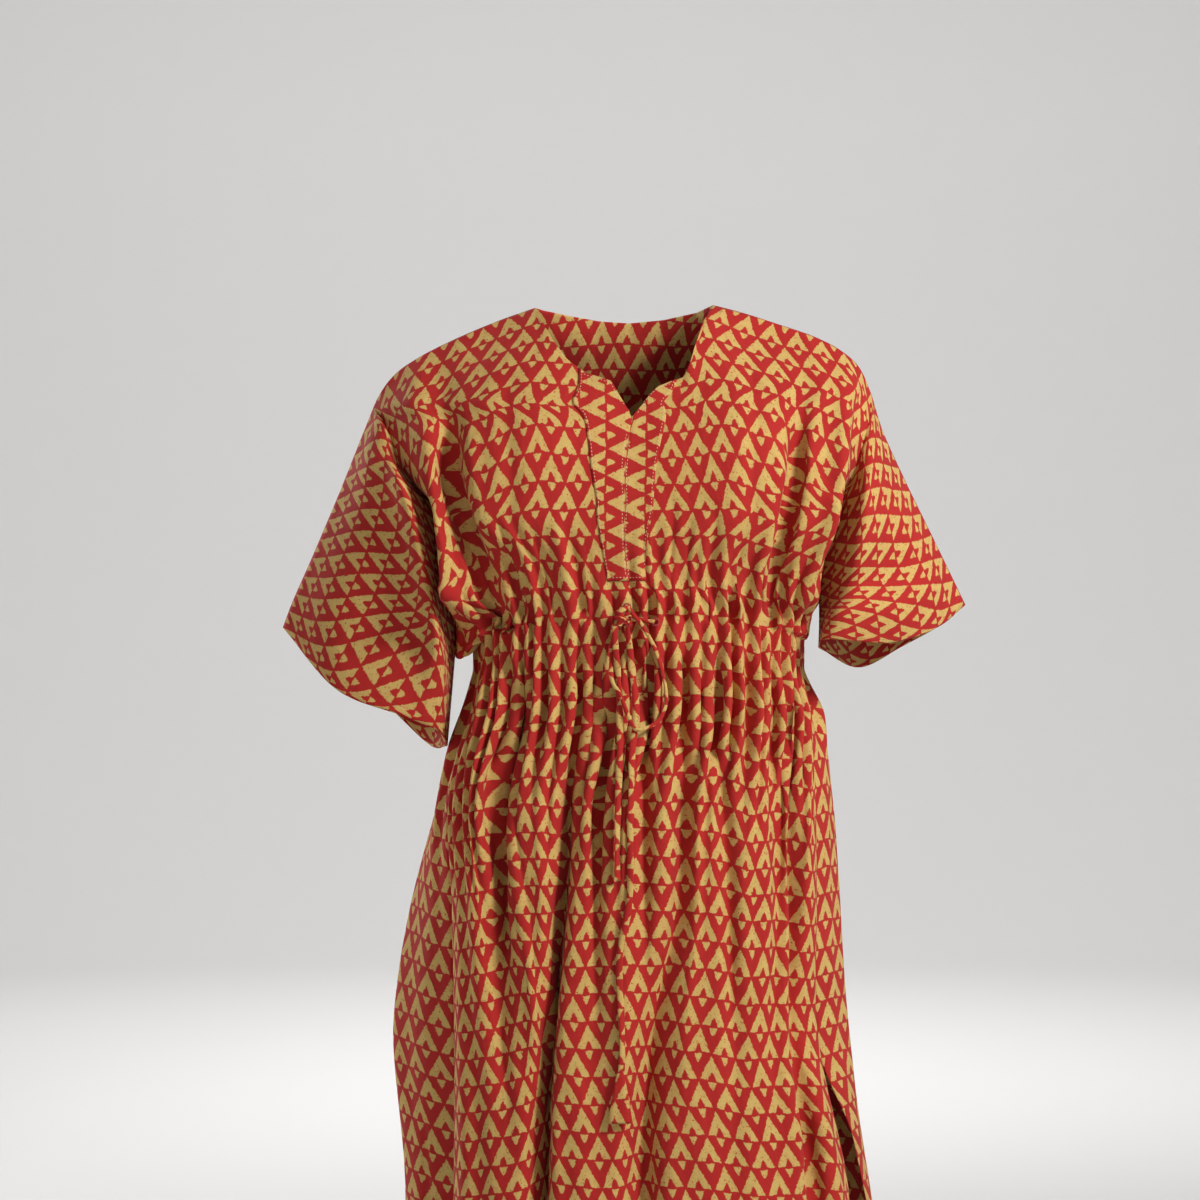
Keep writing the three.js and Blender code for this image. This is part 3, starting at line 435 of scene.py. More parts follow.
def skirt_row(side, z, cols):
    """Row of the skirt at z with its main folds, its columns laid into them little by little."""
    front = side == "front"
    row = front_arc(z) if front else back_arc(z)
    push = np.zeros(len(row))
    for x, depth, width in SKIRT_FOLDS[side]:
        away = (row[:, 0] - at_height(FOLD_LEVELS, x, z)) / at_height(FOLD_LEVELS, width, z)
        deep = at_height(FOLD_LEVELS, depth, z)
        push += (VALLEY_DEPTH if front and deep > 0 else 1) * deep * np.exp(-away * away)
    grown = np.clip((CASING_END - z) / FOLD_GROWS, 0, 1)
    push *= fade_ends(len(row), 15) * grown * (SIGN[side] * row[:, 1] < FOLD_REACH)
    row = row.copy()
    row[:, :2] -= side_step(row) * SIGN[side] * push[:, None]
    order = np.arange(len(row))
    length = lengths(row)
    spread = np.interp(np.linspace(0, length[-1], cols + 1), length, order)
    share = min(1, max(0, (CASING_END - z) / SETTLE_RUN))
    return pick(row, order, np.linspace(0, order[-1], cols + 1) * (1 - share) + spread * share)


def gather_depth(z, above, below):
    """Depth of each gather at z. above and below say how far each one runs from the casing."""
    if z > CASING_TOP:
        return GATHER_DEPTH * np.exp(-((z - CASING_TOP) / above) ** 2)
    if z > CASING_END:
        return GATHER_DEPTH * np.ones_like(above)
    down = CASING_END - z
    swell = GATHER_SWELL * math.sin(min(1, down / SWELL_RUN) * math.pi)
    return (GATHER_DEPTH + swell) * np.clip(1 - down / below, 0, 1)


def gathered(row, z, side):
    """Adds the small pleats that the drawstring makes. Each has its own depth and place."""
    count = GATHERS[side]
    rng = np.random.default_rng(11 if side == "front" else 12)
    phases = rng.uniform(-0.24, 0.24, count + 2)
    sizes = rng.uniform(0.6, 1.5, count + 2)
    above = rng.uniform(34, 105, count + 2)
    below = rng.uniform(90, 420, count + 2)
    place = np.linspace(0, count, len(row))
    numbers = np.arange(count + 2)
    shifted = place + np.interp(place, numbers, phases)
    wave = 1 - 2 * np.abs(np.sin(math.pi * shifted)) ** 3.4
    size = np.interp(place, numbers, sizes * gather_depth(z, above, below))
    down = CASING_END - z
    swell = HOLLOW_DEPTH * math.sin(min(1, max(0, down + HOLLOW_START) / HOLLOW_RUN) * math.pi)
    hollow = swell * np.clip(1 - down / below, 0, 1)
    cut = np.interp(place, numbers, sizes * hollow) * (1 - wave)
    out = row.copy()
    out[:, :2] += side_step(row) * (SIGN[side] * (wave * size - cut) * fade_ends(len(row), 8))[:, None]
    return out


def top_edge(side, shares):
    """Points along the neckline and the folds of both shoulders."""
    neck = np.array(NECK[side], float)
    first, last = neck[0, 0], neck[-1, 0]
    left, right = smooth(TOP_LEFT), smooth(TOP_RIGHT)
    top = np.empty((len(shares), 3))
    for i, share in enumerate(shares):
        if share < first:
            top[i] = even(left, [(1 - share / first) * ARMHOLE])[0]
        elif share > last:
            top[i] = even(right, [(share - last) / (1 - last) * ARMHOLE])[0]
        else:
            top[i] = [np.interp(share, neck[:, 0], neck[:, k]) for k in (1, 2, 3)]
    return top


def arm_at(arm, z):
    """Place of an armhole's curve at z, in the level plane."""
    return [np.interp(-z, -arm[:, 2], arm[:, k]) for k in (0, 1)]


def bodice_section(side, z, shares, ends):
    """Level section of the bodice between two end points."""
    inner = [(at_height(BODICE_LEVELS, x, z), at_height(BODICE_LEVELS, y, z)) for _, x, y in BODICE[side]]
    draw = 1 - DRAW_SHARE * ease(float(np.clip((DRAW_FROM - z) / DRAW_RUN, 0, 1)))
    away = np.abs(shares - 0.5) * 2
    place = 0.5 + np.sign(shares - 0.5) * (draw * away + (1 - draw) * away ** 6) / 2
    return even(smooth([ends[0]] + inner + [ends[1]]), place)


def bodice_rows(side, shares, arms):
    """Key rows from the top edge to the underarm, looked up in a stack of level sections."""
    heights = np.arange(5, UNDERARM_Z - 7, -LAYER)
    stack = np.array([bodice_section(side, z, shares, [arm_at(arm, z) for arm in arms]) for z in heights])
    soft = np.clip((heights - UNDERARM_Z) / SOFT_RUN, 0, 1)[:, None]
    softer = blurred(stack[:, :, 1], SOFT_ROWS, SOFT_WIDTH)
    stack[:, :, 1] = stack[:, :, 1] * (1 - soft) + softer * soft

    def look_up(z):
        at = np.clip((heights[0] - z) / LAYER, 0, len(heights) - 1.001)
        k = at.astype(int)
        t = (at - k)[:, None]
        cols = np.arange(len(shares))
        return stack[k, cols] * (1 - t) + stack[k + 1, cols] * t

    top = top_edge(side, shares)
    shift = top[:, :2] - look_up(top[:, 2])
    settle = 3 + sum(5 * np.exp(-((shares - NECK[side][end][0]) / 0.07) ** 2) for end in (0, -1))
    rows = []
    for g in np.linspace(0, 1, UPPER_KEYS) ** UPPER_EASE:
        z = top[:, 2] + (UNDERARM_Z - top[:, 2]) * g
        row = np.column_stack([look_up(z) + shift * ((1 - g) ** settle)[:, None], z])
        for end, arm in zip((0, -1), arms):
            row[end, :2] = arm_at(arm, z[end])
        rows.append(row)
    return rows


def waist_rows(side, shares, underarm):
    """Key rows from the underarm to the casing's end: gathers, the bagging blouse, and the casing."""
    cols = len(shares) - 1
    waist = skirt_row(side, CASING_TOP, cols)
    taper = np.clip((shares - 0.1) / 0.14, 0, 1) * np.clip((1 - shares) / 0.16, 0.3, 1)
    rows = []
    for z in LEAN_ROWS:
        t = (UNDERARM_Z - z) / (UNDERARM_Z - CASING_TOP)
        ends = [underarm[e][:2] * (1 - t) + waist[e][:2] * t for e in (0, -1)]
        lean = (LEAN * ease(np.clip((UNDERARM_Z - z) / LEAN_RUN, 0, 1)) * taper)[:, None]
        row = bodice_section(side, z, shares, ends) * (1 - lean) + waist[:, :2] * lean
        rows.append(gathered(np.column_stack([row, np.full(cols + 1, z)]), z, side))
    drape = gathered(waist, CASING_TOP, side)
    left = ease(np.clip(1 - shares / BAG_REACH[side], 0, 1))
    right = BAG_RIGHT[side] * np.clip(1 - (1 - shares) / 0.2, 0, 1)
    middle = 0.03 * np.clip((np.abs(shares - 0.5) - 0.12) / 0.2, 0, 1)
    amount = np.maximum(left, middle + right) * np.clip(shares * 28, 0, 1)
    for z, sag, out, more in BAG_ROWS:
        push = out * (0.15 + 3 * amount).clip(0, 1) + more * amount
        row = drape.copy()
        row[:, :2] += side_step(waist) * (push * SIGN[side] * fade_ends(cols + 1, cols / 28))[:, None]
        row[:, 2] = z + sag * amount
        rows.append(row)
    for z in CASING_ROWS:
        row = drape.copy()
        row[:, 2] = z
        rows.append(row)
    return rows


def skirt_rows(side, cols):
    """Key rows from just below the casing to the hem."""
    rows = []
    z = CASING_END - 8
    while z > HEM + 6:
        rows.append(gathered(skirt_row(side, z, cols), z, side))
        z -= CLOSE_STEP if z > CLOSE_END else WIDE_STEP
    rows.append(skirt_row(side, HEM, cols))
    return rows


def body_keys(side, cols):
    """Key rows of one panel's body from the top edge to the hem, and the shares of its armhole rows."""
    shares = np.linspace(0, 1, cols + 1)
    arms = [sleeve_section(*sleeve, 0) for sleeve in SLEEVES[side]]
    rows = bodice_rows(side, shares, arms)
    rows += waist_rows(side, shares, rows[-1])
    rows = np.array(rows + skirt_rows(side, cols))
    if side == "front":
        crease(rows)
    loosen(rows, side)
    dip = np.clip(np.abs(shares - 0.5) * 2, 0, 1) ** 1.5
    dip = CASING_DIP * (dip if side == "front" else 0.5 + 0.5 * dip)
    level = rows[:, :, 2]
    weight = ease(np.clip((DIP_FROM - level) / DIP_RUN, 0, 1) * np.clip((level - DIP_END) / DIP_FADE, 0, 1))
    rows[UPPER_KEYS:, :, 2] -= (weight * dip)[UPPER_KEYS:]
    arm_shares = []
    for arm, end in zip(arms, (0, -1)):
        length = lengths(arm)
        arm_shares.append(np.interp(-rows[:UPPER_KEYS, end, 2], -arm[:, 2], length / length[-1]))
    return rows, arm_shares


def crease(rows):
    """Presses the creases of the front's bodice into its rows."""
    for i, row in enumerate(rows):
        z = row[:, 2]
        if z.min() < CASING_END:
            break
        push = np.zeros(len(row))
        for depth, width, track in BODICE_CREASES:
            xs, zs = np.array(track, float).T
            away = (row[:, 0] - np.interp(-z, -zs, xs)) / width
            grow = np.clip((zs[0] - z) / 40, 0, 1) * np.clip((z - CASING_TOP) / 8 + 0.4, 0, 1)
            push += depth * grow * np.exp(-away * away)
        rows[i, :, :2] -= side_step(row) * (push * (row[:, 1] < -25))[:, None]


def loosen(rows, side):
    """Long soft folds, and a slow wave that widens towards the hem. Seeded, so each run is the same."""
    count, depth, width = LOOSE_FOLDS[side]
    rng = np.random.default_rng(31 if side == "front" else 32)
    places = (np.arange(count) + rng.uniform(0.1, 0.9, count)) / count
    starts = rng.uniform(-560, -390, count)
    runs = rng.uniform(180, 760, count)
    depths = depth * rng.uniform(0.5, 1.4, count) * rng.choice([-0.7, 1], count)
    widths = width * rng.uniform(0.6, 1.3, count)
    drifts = rng.uniform(-0.012, 0.012, count)
    waves = [(rng.uniform(5, 12), rng.uniform(0, 6.3), rng.uniform(-1.5, 1.5)) for _ in range(4)]
    shares = np.linspace(0, 1, rows.shape[1])
    ends = fade_ends(len(shares), (len(shares) - 1) / 16)
    for i, row in enumerate(rows):
        z = row[:, 2].mean()
        if z > CASING_END - 10:
            continue
        down = (CASING_END - z) / (CASING_END - HEM)
        push = np.zeros(len(row))
        for k in range(count):
            t = (starts[k] - z) / runs[k]
            if t <= 0:
                continue
            to_hem = starts[k] - runs[k] < HEM + 200
            fade = min(1, t * 4) * (1 if to_hem else max(0, 1 - max(0, t - 0.7) / 0.3))
            away = (shares - places[k] - drifts[k] * t) * HALF_BODY * 2 / (widths[k] * (1 + 0.8 * down))
            push += depths[k] * fade * np.exp(-away * away)
        for turns, start, turn in waves:
            push += 1.5 * min(1, down * 2.2) * np.sin(shares * turns * 2 * math.pi + start + turn * down)
        if side == "front":
            push *= 1 - 0.85 * np.exp(-((row[:, 0] - 2) / 30) ** 2)
        rows[i, :, :2] -= side_step(row) * (SIGN[side] * push * ends)[:, None]


def under_cords(rows):
    """Keeps the front's cloth just behind the drawstring wherever that lies on it."""
    cords = [(smooth(LONG_RUN, 12), 2.6), (smooth(SHORT_RUN, 12), 2.6), (smooth(LOOP_RUN, 12), 2.0)]
    x, y, top = LONG_TIP
    tip = np.array([(x + dx, y, top - dz) for dx in (-10, -5, 0, 5, 10) for dz in range(0, 52, 4)])
    cords.append((tip, LONG_TIP_SIZE[1] / 2))
    flat = rows.reshape(-1, 3)
    near = np.where((np.abs(flat[:, 0]) < 60) & (flat[:, 2] < -325) & (flat[:, 2] > -850))[0]
    for line, radius in cords:
        for p in line:
            gap = np.hypot(flat[near, 0] - p[0], flat[near, 2] - p[2])
            want = p[1] + radius + CLOTH / 2 + 0.1 - np.clip(gap - radius - 1, 0, None) * 0.9
            flat[near, 1] = np.where(gap < 12, np.maximum(flat[near, 1], want), flat[near, 1])


def refine(rows, times):
    """Catmull-Rom rows between key rows."""
    padded = np.concatenate([2 * rows[:1] - rows[1:2], rows, 2 * rows[-1:] - rows[-2:-1]])
    out = []
    for i in range(1, len(padded) - 2):
        a, b, c, d = padded[i - 1:i + 3]
        for k in range(times):
            t = k / times
            out.append(0.5 * (2 * b + (c - a) * t + (2 * a - 5 * b + 4 * c - d) * t ** 2
                              + (3 * b - a - 3 * c + d) * t ** 3))
    out.append(rows[-1])
    return np.array(out)


def grid_faces(rows, cols, closed=False):
    """Quads over points stored row by row. A closed grid joins its last column to its first."""
    wide = cols if closed else cols + 1
    starts = [(r * wide + c, r * wide + (c + 1) % wide) for r in range(rows) for c in range(cols)]
    return [(a, a + wide, b + wide, b) for a, b in starts]


def new_mesh(name, verts, faces, uvs):
    mesh = bpy.data.meshes.new(name)
    mesh.from_pydata([tuple(v) for v in np.asarray(verts) * MM], [], faces)
    layer = mesh.uv_layers.new(name="cloth")
    flat = np.asarray(uvs, float)[[v for face in faces for v in face]] * MM
    layer.data.foreach_set("uv", flat.astype(np.float32).ravel())
    mesh.polygons.foreach_set("use_smooth", [True] * len(mesh.polygons))
    piece = bpy.data.objects.new(name, mesh)
    bpy.context.scene.collection.objects.link(piece)
    return piece


class Panel:
    """One panel with its two sleeve halves: points in millimetres, quads and cloth coordinates."""

    def __init__(self, side, cols):
        self.side, self.cols = side, cols
        keys, arm_shares = body_keys(side, cols)
        self.body = refine(keys, UPSAMPLE)
        if side == "front":
            under_cords(self.body)
        self.arm_rows = (UPPER_KEYS - 1) * UPSAMPLE + 1
        self.waist_row = (UPPER_KEYS + len(LEAN_ROWS) + len(BAG_ROWS)) * UPSAMPLE
        self.points = list(self.body.reshape(-1, 3))
        self.uvs = [tuple(p) for p in self.cloth_of_body().reshape(-1, 2)]
        self.quads = grid_faces(len(self.body) - 1, cols)
        self.sleeves = []
        for sleeve, shares, col, sign in zip(SLEEVES[side], arm_shares, (0, cols), (-1, 1)):
            self.add_sleeve(sleeve, shares, col, sign)
        if side == "back":
            self.quads = [q[::-1] for q in self.quads]

    def cloth_of_body(self):
        """Place of each point on the cut cloth. Every column meets the casing at the same height of it."""
        rows = self.body
        steps = np.linalg.norm(np.diff(rows, axis=0), axis=2)
        down = np.concatenate([np.zeros((1, self.cols + 1)), np.cumsum(steps, axis=0)])
        shares = np.linspace(0, 1, self.cols + 1)
        in_neck = (shares > NECK[self.side][0][0]) & (shares < NECK[self.side][-1][0])
        start = np.maximum(0, -rows[0, :, 2]) * 0.9 + 0.35 * np.abs(rows[0, :, 1])
        start = np.where(in_neck, start, 0)
        total = down[self.waist_row]
        below = np.arange(len(rows))[:, None] > self.waist_row
        t = np.where(below, CASING_CUT + down - total, start + down / total * (CASING_CUT - start))
        t = np.where(below, blurred(t.T, PRINT_BLUR, PRINT_BLUR / 2.2).T, t)
        across = np.linspace(-HALF_BODY, HALF_BODY, self.cols + 1)
        rng = np.random.default_rng(51 if self.side == "front" else 52)
        waver = sum(a * np.sin(across / w + rng.uniform(0, 6.3)) for a, w in PRINT_WAVES)
        near = np.exp(-((t - CASING_CUT - 40) / 170) ** 2) + 0.35 * (t > CASING_CUT)
        t = t + waver[None, :] * np.clip(near, 0, 1)
        return np.stack([np.broadcast_to(across, t.shape), t], axis=2)

    def add_sleeve(self, sleeve, shares, col, sign):
        """Sleeve half that grows out of the body's outer column. shares place its rows round the arm."""
        before = [r * (self.cols + 1) + col for r in range(self.arm_rows)]
        fine = np.interp(np.linspace(0, UPPER_KEYS - 1, self.arm_rows), np.arange(UPPER_KEYS), shares)
        grid = [before]
        for k in range(1, SLEEVE_COLS + 1):
            at = k / SLEEVE_COLS
            curve = even(sleeve_section(*sleeve, at), fine)
            base = len(self.points)
            self.points.extend(curve)
            closer = 1 + (SLEEVE_PRINT[sign] - 1) * at
            s = sign * (HALF_BODY + (SLEEVE_END - HALF_BODY) * at * closer)
            reach = SLEEVE_DROP + (lengths(curve)[-1] - SLEEVE_DROP) * min(1, at * 1.6)
            self.uvs.extend((s, reach * math.sqrt(closer) * share) for share in fine)
            now = [base + r for r in range(self.arm_rows)]
            for r in range(self.arm_rows - 1):
                if sign > 0:
                    self.quads.append((before[r], before[r + 1], now[r + 1], now[r]))
                else:
                    self.quads.append((before[r], now[r], now[r + 1], before[r + 1]))
            before = now
            grid.append(now)
        self.sleeves.append(grid)

    def at(self, r, c):
        """Point of the body at a row and column, which may lie between two."""
        r = min(max(r, 0), len(self.body) - 1.001)
        c = min(max(c, 0), self.cols - 0.001)
        i, j = int(r), int(c)
        f, g = r - i, c - j
        b = self.body
        return ((b[i, j] * (1 - g) + b[i, j + 1] * g) * (1 - f)
                + (b[i + 1, j] * (1 - g) + b[i + 1, j + 1] * g) * f)

    def normal(self, r, c):
        down = self.at(r + 0.6, c) - self.at(r - 0.6, c)
        across = self.at(r, c + 0.6) - self.at(r, c - 0.6)
        return SIGN[self.side] * unit(np.cross(down, across))

    def line(self, places, lift):
        """Points and outward directions of a line over the body, given as (row, column) places."""
        outs = [self.normal(r, c) for r, c in places]
        points = [self.at(r, c) + out * lift for (r, c), out in zip(places, outs)]
        return np.array(points), np.array(outs)

    def sleeve_line(self, which, places, lift):
        """The same for a line over a sleeve, its places as (column, row)."""
        grid = np.array([[self.points[i] for i in col] for col in self.sleeves[which]])
        points, outs = [], []
        for k, r in places:
            k0, r0 = min(int(k), len(grid) - 2), min(int(r), grid.shape[1] - 2)
            a, b, c = grid[k0, r0], grid[k0 + 1, r0], grid[k0, r0 + 1]
            out = unit(np.cross(b - a, c - a))
            if (out[1] > 0) == (self.side == "front"):
                out = -out
            points.append(a + (b - a) * (k - k0) + (c - a) * (r - r0) + out * lift)
            outs.append(out)
        return np.array(points), np.array(outs)


def solidify(piece, thickness):
    """Makes a wall of a sheet of faces, half of it to each side."""
    mod = piece.modifiers.new("wall", "SOLIDIFY")
    mod.thickness = thickness * MM
    mod.offset = 0
    mod.use_even_offset = False
    bpy.context.view_layer.update()
    graph = bpy.context.evaluated_depsgraph_get()
    mesh = bpy.data.meshes.new_from_object(piece.evaluated_get(graph))
    piece.modifiers.clear()
    piece.data = mesh


# Stitches: from one to the next, their length, and the faces of one over its three rows of points.
STITCH_PITCH = 3.8
STITCH_LENGTH = 2.4
DASH_FACES = [(i, i + 3, i + 4, i + 1) for i in (0, 1, 3, 4)]
# Tubes of the drawstring: points round them, and from ring to ring.
TUBE_SIDES = 14
TUBE_STEP = 2.2


def stitches(name, runs, wide=0.55, proud=0.4):
    """Small thread dashes along runs. A run is (points, outward directions)."""
    verts, faces, uvs = [], [], []
    for points, outs in runs:
        place = lengths(points)
        for k in range(int(place[-1] / STITCH_PITCH)):
            ends = [k * STITCH_PITCH, k * STITCH_PITCH + STITCH_LENGTH]
            p, q = pick(points, place, ends)
            out = sum(unit(way) for way in pick(outs, place, ends)) / 2
            across = unit(np.cross(out, unit(q - p)))
            base = len(verts)
            for centre, half, rise in ((p, 0.4, -0.1), ((p + q) / 2, 1, proud), (q, 0.4, -0.1)):
                for side in (-1, 0, 1):
                    bulge = rise if side == 0 else rise - 0.22
                    verts.append(centre + across * side * wide / 2 * half + out * bulge)
                    uvs.append((centre[0] + side, centre[2]))
            faces += [tuple(base + v for v in face) for face in DASH_FACES]
    return new_mesh(name, verts, faces, uvs)


def tube(name, points, wide, deep, roll, seed):
    """A sewn cloth tube along points: flattened, with a seam ridge and small wrinkles."""
    line = smooth(points, 10)
    total = float(lengths(line)[-1])
    count = max(12, int(total / TUBE_STEP))
    line = even(line, np.linspace(0, 1, count + 1))
    along = np.gradient(line, axis=0)
    along /= np.linalg.norm(along, axis=1)[:, None]
    place = np.linspace(0, total, count + 1)
    rng = np.random.default_rng(seed)

    def wave(run):
        return np.sin(place / run + rng.uniform(0, 6))

    twist = roll + 0.55 * wave(47) + 0.3 * wave(19)
    size = 1 + 0.07 * wave(8.3) + 0.05 * wave(3.9)
    verts, uvs = [], []
    facing = np.array([0.0, -1.0, 0.0])
    for i, p in enumerate(line):
        side = np.cross(along[i], facing)
        if np.linalg.norm(side) < 0.15:
            side = np.array([1.0, 0.0, 0.0])
        side /= np.linalg.norm(side)
        front = np.cross(side, along[i])
        ct, st = math.cos(twist[i]), math.sin(twist[i])
        u, v = side * ct + front * st, front * ct - side * st
        for k in range(TUBE_SIDES):
            turn = 2 * math.pi * k / TUBE_SIDES
            x = math.cos(turn) * wide / 2 * size[i]
            y = math.sin(turn) * deep / 2 * (1.16 if k == 3 else 1)
            verts.append(p + u * x + v * y)
            uvs.append((turn * wide / 3.2, place[i]))
    faces = grid_faces(count, TUBE_SIDES, closed=True)
    for end, first in ((0, 0), (-1, count * TUBE_SIDES)):
        base = len(verts)
        verts.append(line[end])
        uvs.append((0, 0))
        for k in range(TUBE_SIDES):
            a, b = first + k, first + (k + 1) % TUBE_SIDES
            faces.append((base, b, a) if end == 0 else (base, a, b))
    return new_mesh(name, verts, faces, uvs), line, total


def join(name, pieces):
    """One piece from several, which it takes the place of."""
    verts, faces, uvs = [], [], []
    for piece in pieces:
        base = len(verts)
        mesh = piece.data
        verts.extend(np.array(v.co) / MM for v in mesh.vertices)
        faces.extend(tuple(base + i for i in p.vertices) for p in mesh.polygons)
        coords = [(0, 0)] * len(mesh.vertices)
        for loop in mesh.loops:
            coords[loop.vertex_index] = tuple(np.array(mesh.uv_layers[0].data[loop.index].uv) / MM)
        uvs.extend(coords)
        bpy.data.objects.remove(piece, do_unlink=True)
    return new_mesh(name, verts, faces, uvs)


# Materials. Every pattern is worked out from the cloth coordinates, in metres of flat cloth.
RED = (0.46, 0.020, 0.016, 1)
RED_DEEP = (0.33, 0.010, 0.009, 1)
RED_WORN = (0.52, 0.04, 0.035, 1)
OCHRE = (0.56, 0.385, 0.105, 1)
OCHRE_PALE = (0.66, 0.48, 0.165, 1)
OCHRE_DARK = (0.46, 0.27, 0.06, 1)
# The block's repeat, and how far its edges and its rows stray.
PRINT_WIDTH = 0.0285
PRINT_HEIGHT = 0.028
PRINT_WOBBLE = 0.0034
PRINT_DRIFT = 0.006


class Value:
    """Output of a node that can be reckoned with like a number."""

    def __init__(self, nodes, socket):
        self.nodes, self.socket = nodes, socket

    def __add__(self, other):
        return self.nodes.math("ADD", self, other)

    def __sub__(self, other):
        return self.nodes.math("SUBTRACT", self, other)

    def __rsub__(self, other):
        return self.nodes.math("SUBTRACT", other, self)

    def __mul__(self, other):
        return self.nodes.math("MULTIPLY", self, other)

    def __truediv__(self, other):
        return self.nodes.math("DIVIDE", self, other)


class Nodes:
    """A material's node tree, written as sums of its values."""

    def __init__(self, name):
        self.mat = bpy.data.materials.new(name)
        self.mat.use_nodes = True
        self.tree = self.mat.node_tree
        self.shader = self.tree.nodes["Principled BSDF"]

    def put(self, value, socket):
        if isinstance(value, Value):
            self.tree.links.new(value.socket, socket)
        else:
            socket.default_value = value

    def add(self, kind, output, inputs, **settings):
        """Output of a new node. inputs are numbers or other nodes' outputs, by name or number."""
        node = self.tree.nodes.new(kind)
        for key, value in settings.items():
            setattr(node, key, value)
        for key, value in inputs.items():
            self.put(value, node.inputs[key])
        return Value(self, node.outputs[output])

    def surface(self, **inputs):
        for key, value in inputs.items():
            self.put(value, self.shader.inputs[key.replace("_", " ")])

    def uv(self):
        return self.add("ShaderNodeUVMap", "UV", {}, uv_map="cloth")

    def math(self, op, *values):
        return self.add("ShaderNodeMath", 0, dict(enumerate(values)), operation=op)

    def smooth_step(self, value, low, high):
        inputs = {"Value": value, "From Min": low, "From Max": high}
        return self.add("ShaderNodeMapRange", "Result", inputs, interpolation_type="SMOOTHSTEP")

    def noise(self, vector, scale, detail=3.0, rough=0.5):
        inputs = {"Vector": vector, "Scale": scale, "Detail": detail, "Roughness": rough}
        return self.add("ShaderNodeTexNoise", "Fac", inputs, noise_dimensions="2D")

    def bands(self, vector, direction, scale, distortion=0.0):
        inputs = {"Vector": vector, "Scale": scale, "Distortion": distortion}
        return self.add("ShaderNodeTexWave", "Fac", inputs, wave_type="BANDS", bands_direction=direction)

    def mix(self, share, a, b):
        return self.add("ShaderNodeMix", 2, {0: share, 6: a, 7: b}, data_type="RGBA")

    def bump(self, height, strength, distance, **under):
        inputs = {"Strength": strength, "Distance": distance, "Height": height, **under}
        return self.add("ShaderNodeBump", "Normal", inputs)


def print_mask(n, cloth):
    """1 where the block left ochre: rows of triangles, each with a notch and a drop below it."""
    wobble_u = (n.noise(cloth, 260, 4, 0.65) - 0.5) * PRINT_WOBBLE
    wobble_v = (n.noise(cloth, 210, 4, 0.65) - 0.5) * PRINT_WOBBLE
    drift = (n.noise(cloth, 11, 2) - 0.5) * PRINT_DRIFT
    x, y = (n.add("ShaderNodeSeparateXYZ", axis, {0: cloth}) for axis in (0, 1))
    u = (x + (wobble_u + drift)) / PRINT_WIDTH
    v = (y + (wobble_v + drift)) / PRINT_HEIGHT
    odd = n.math("FLOORED_MODULO", n.math("FLOOR", v), 2.0) * 0.5
    across = n.math("ABSOLUTE", n.math("FRACT", u + odd) - 0.5)
    down = n.math("FRACT", v)
    half = (down - 0.025) * 0.505
    foot = n.smooth_step(down, 0.80, 0.97) * 0.022
    edge = half - foot - across
    body = n.smooth_step(edge, 0.0, 0.03) * n.smooth_step(down, 0.965, 0.935)
    rise = down - 0.645
    arch = n.math("POWER", n.math("MAXIMUM", rise, 0.0), 0.66) * 0.33
    notch = n.smooth_step(arch - across, -0.012, 0.02) * n.smooth_step(rise, -0.01, 0.02)
    body = body * (1.0 - notch)
    fall = down - 0.01
    bulge = n.math("POWER", n.math("MAXIMUM", 0.33 - fall, 0.0), 0.6) * 0.335
    drop = n.smooth_step(bulge - (0.5 - across), 0.0, 0.03) * n.smooth_step(fall, 0.0, 0.035)
    return n.math("MAXIMUM", body, drop)


def cotton(name):
    """Plain-weave cotton, dyed red and printed in ochre, with slubs and soft crumples."""
    n = Nodes(name)
    cloth = n.uv()
    ground = n.mix(n.noise(cloth, 14, 3), RED, RED_DEEP)
    ground = n.mix(n.noise(cloth, 420, 4, 0.7) * 0.35, ground, RED_WORN)
    skips = n.smooth_step(n.noise(cloth, 330, 5, 0.7), 0.30, 0.42)
    strong = n.noise(cloth, 30, 2) * 0.2 + 0.80
    specks = n.smooth_step(n.noise(cloth, 900, 5, 0.8), 0.48, 0.70)
    ochre = n.mix(n.noise(cloth, 120, 4, 0.6), OCHRE, OCHRE_PALE)
    ochre = n.mix(specks * 0.45, ochre, OCHRE_DARK)
    weave = (n.bands(cloth, "X", 620, 0.6) + n.bands(cloth, "Y", 620, 0.6)) * 0.5
    slub = n.noise(cloth, 900, 3, 0.7)
    drawn = n.add("ShaderNodeMapping", "Vector", {"Vector": cloth, "Scale": (3.2, 1, 1)})
    crumple = n.noise(cloth, 26, 4, 0.55) + n.noise(drawn, 17, 3, 0.55) * 0.55
    threads = n.bump(weave * 0.7 + slub * 0.5, 0.35, 0.00022)
    n.surface(Base_Color=n.mix(print_mask(n, cloth) * skips * strong, ground, ochre),
              Normal=n.bump(crumple, 0.5, 0.0045, Normal=threads),
              Roughness=weave * 0.14 + 0.74, Sheen_Weight=0.05, Sheen_Roughness=0.5,
              Specular_IOR_Level=0.15)
    return n.mat


def thread(name, color, dark):
    """Twisted sewing thread."""
    n = Nodes(name)
    cloth = n.uv()
    n.surface(Base_Color=n.mix(n.noise(cloth, 160, 3), color, dark),
              Normal=n.bump(n.bands(cloth, "DIAGONAL", 1400), 0.4, 0.0001),
              Roughness=0.6, Sheen_Weight=0.2)
    return n.mat


def dress(piece, material, *nodes):
    """Gives a piece its material and body, and the solids that it is seen in place of."""
    piece.data.materials.clear()
    piece.data.materials.append(material)
    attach(piece, "root")
    if nodes:
        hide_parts(*nodes)
    return piece


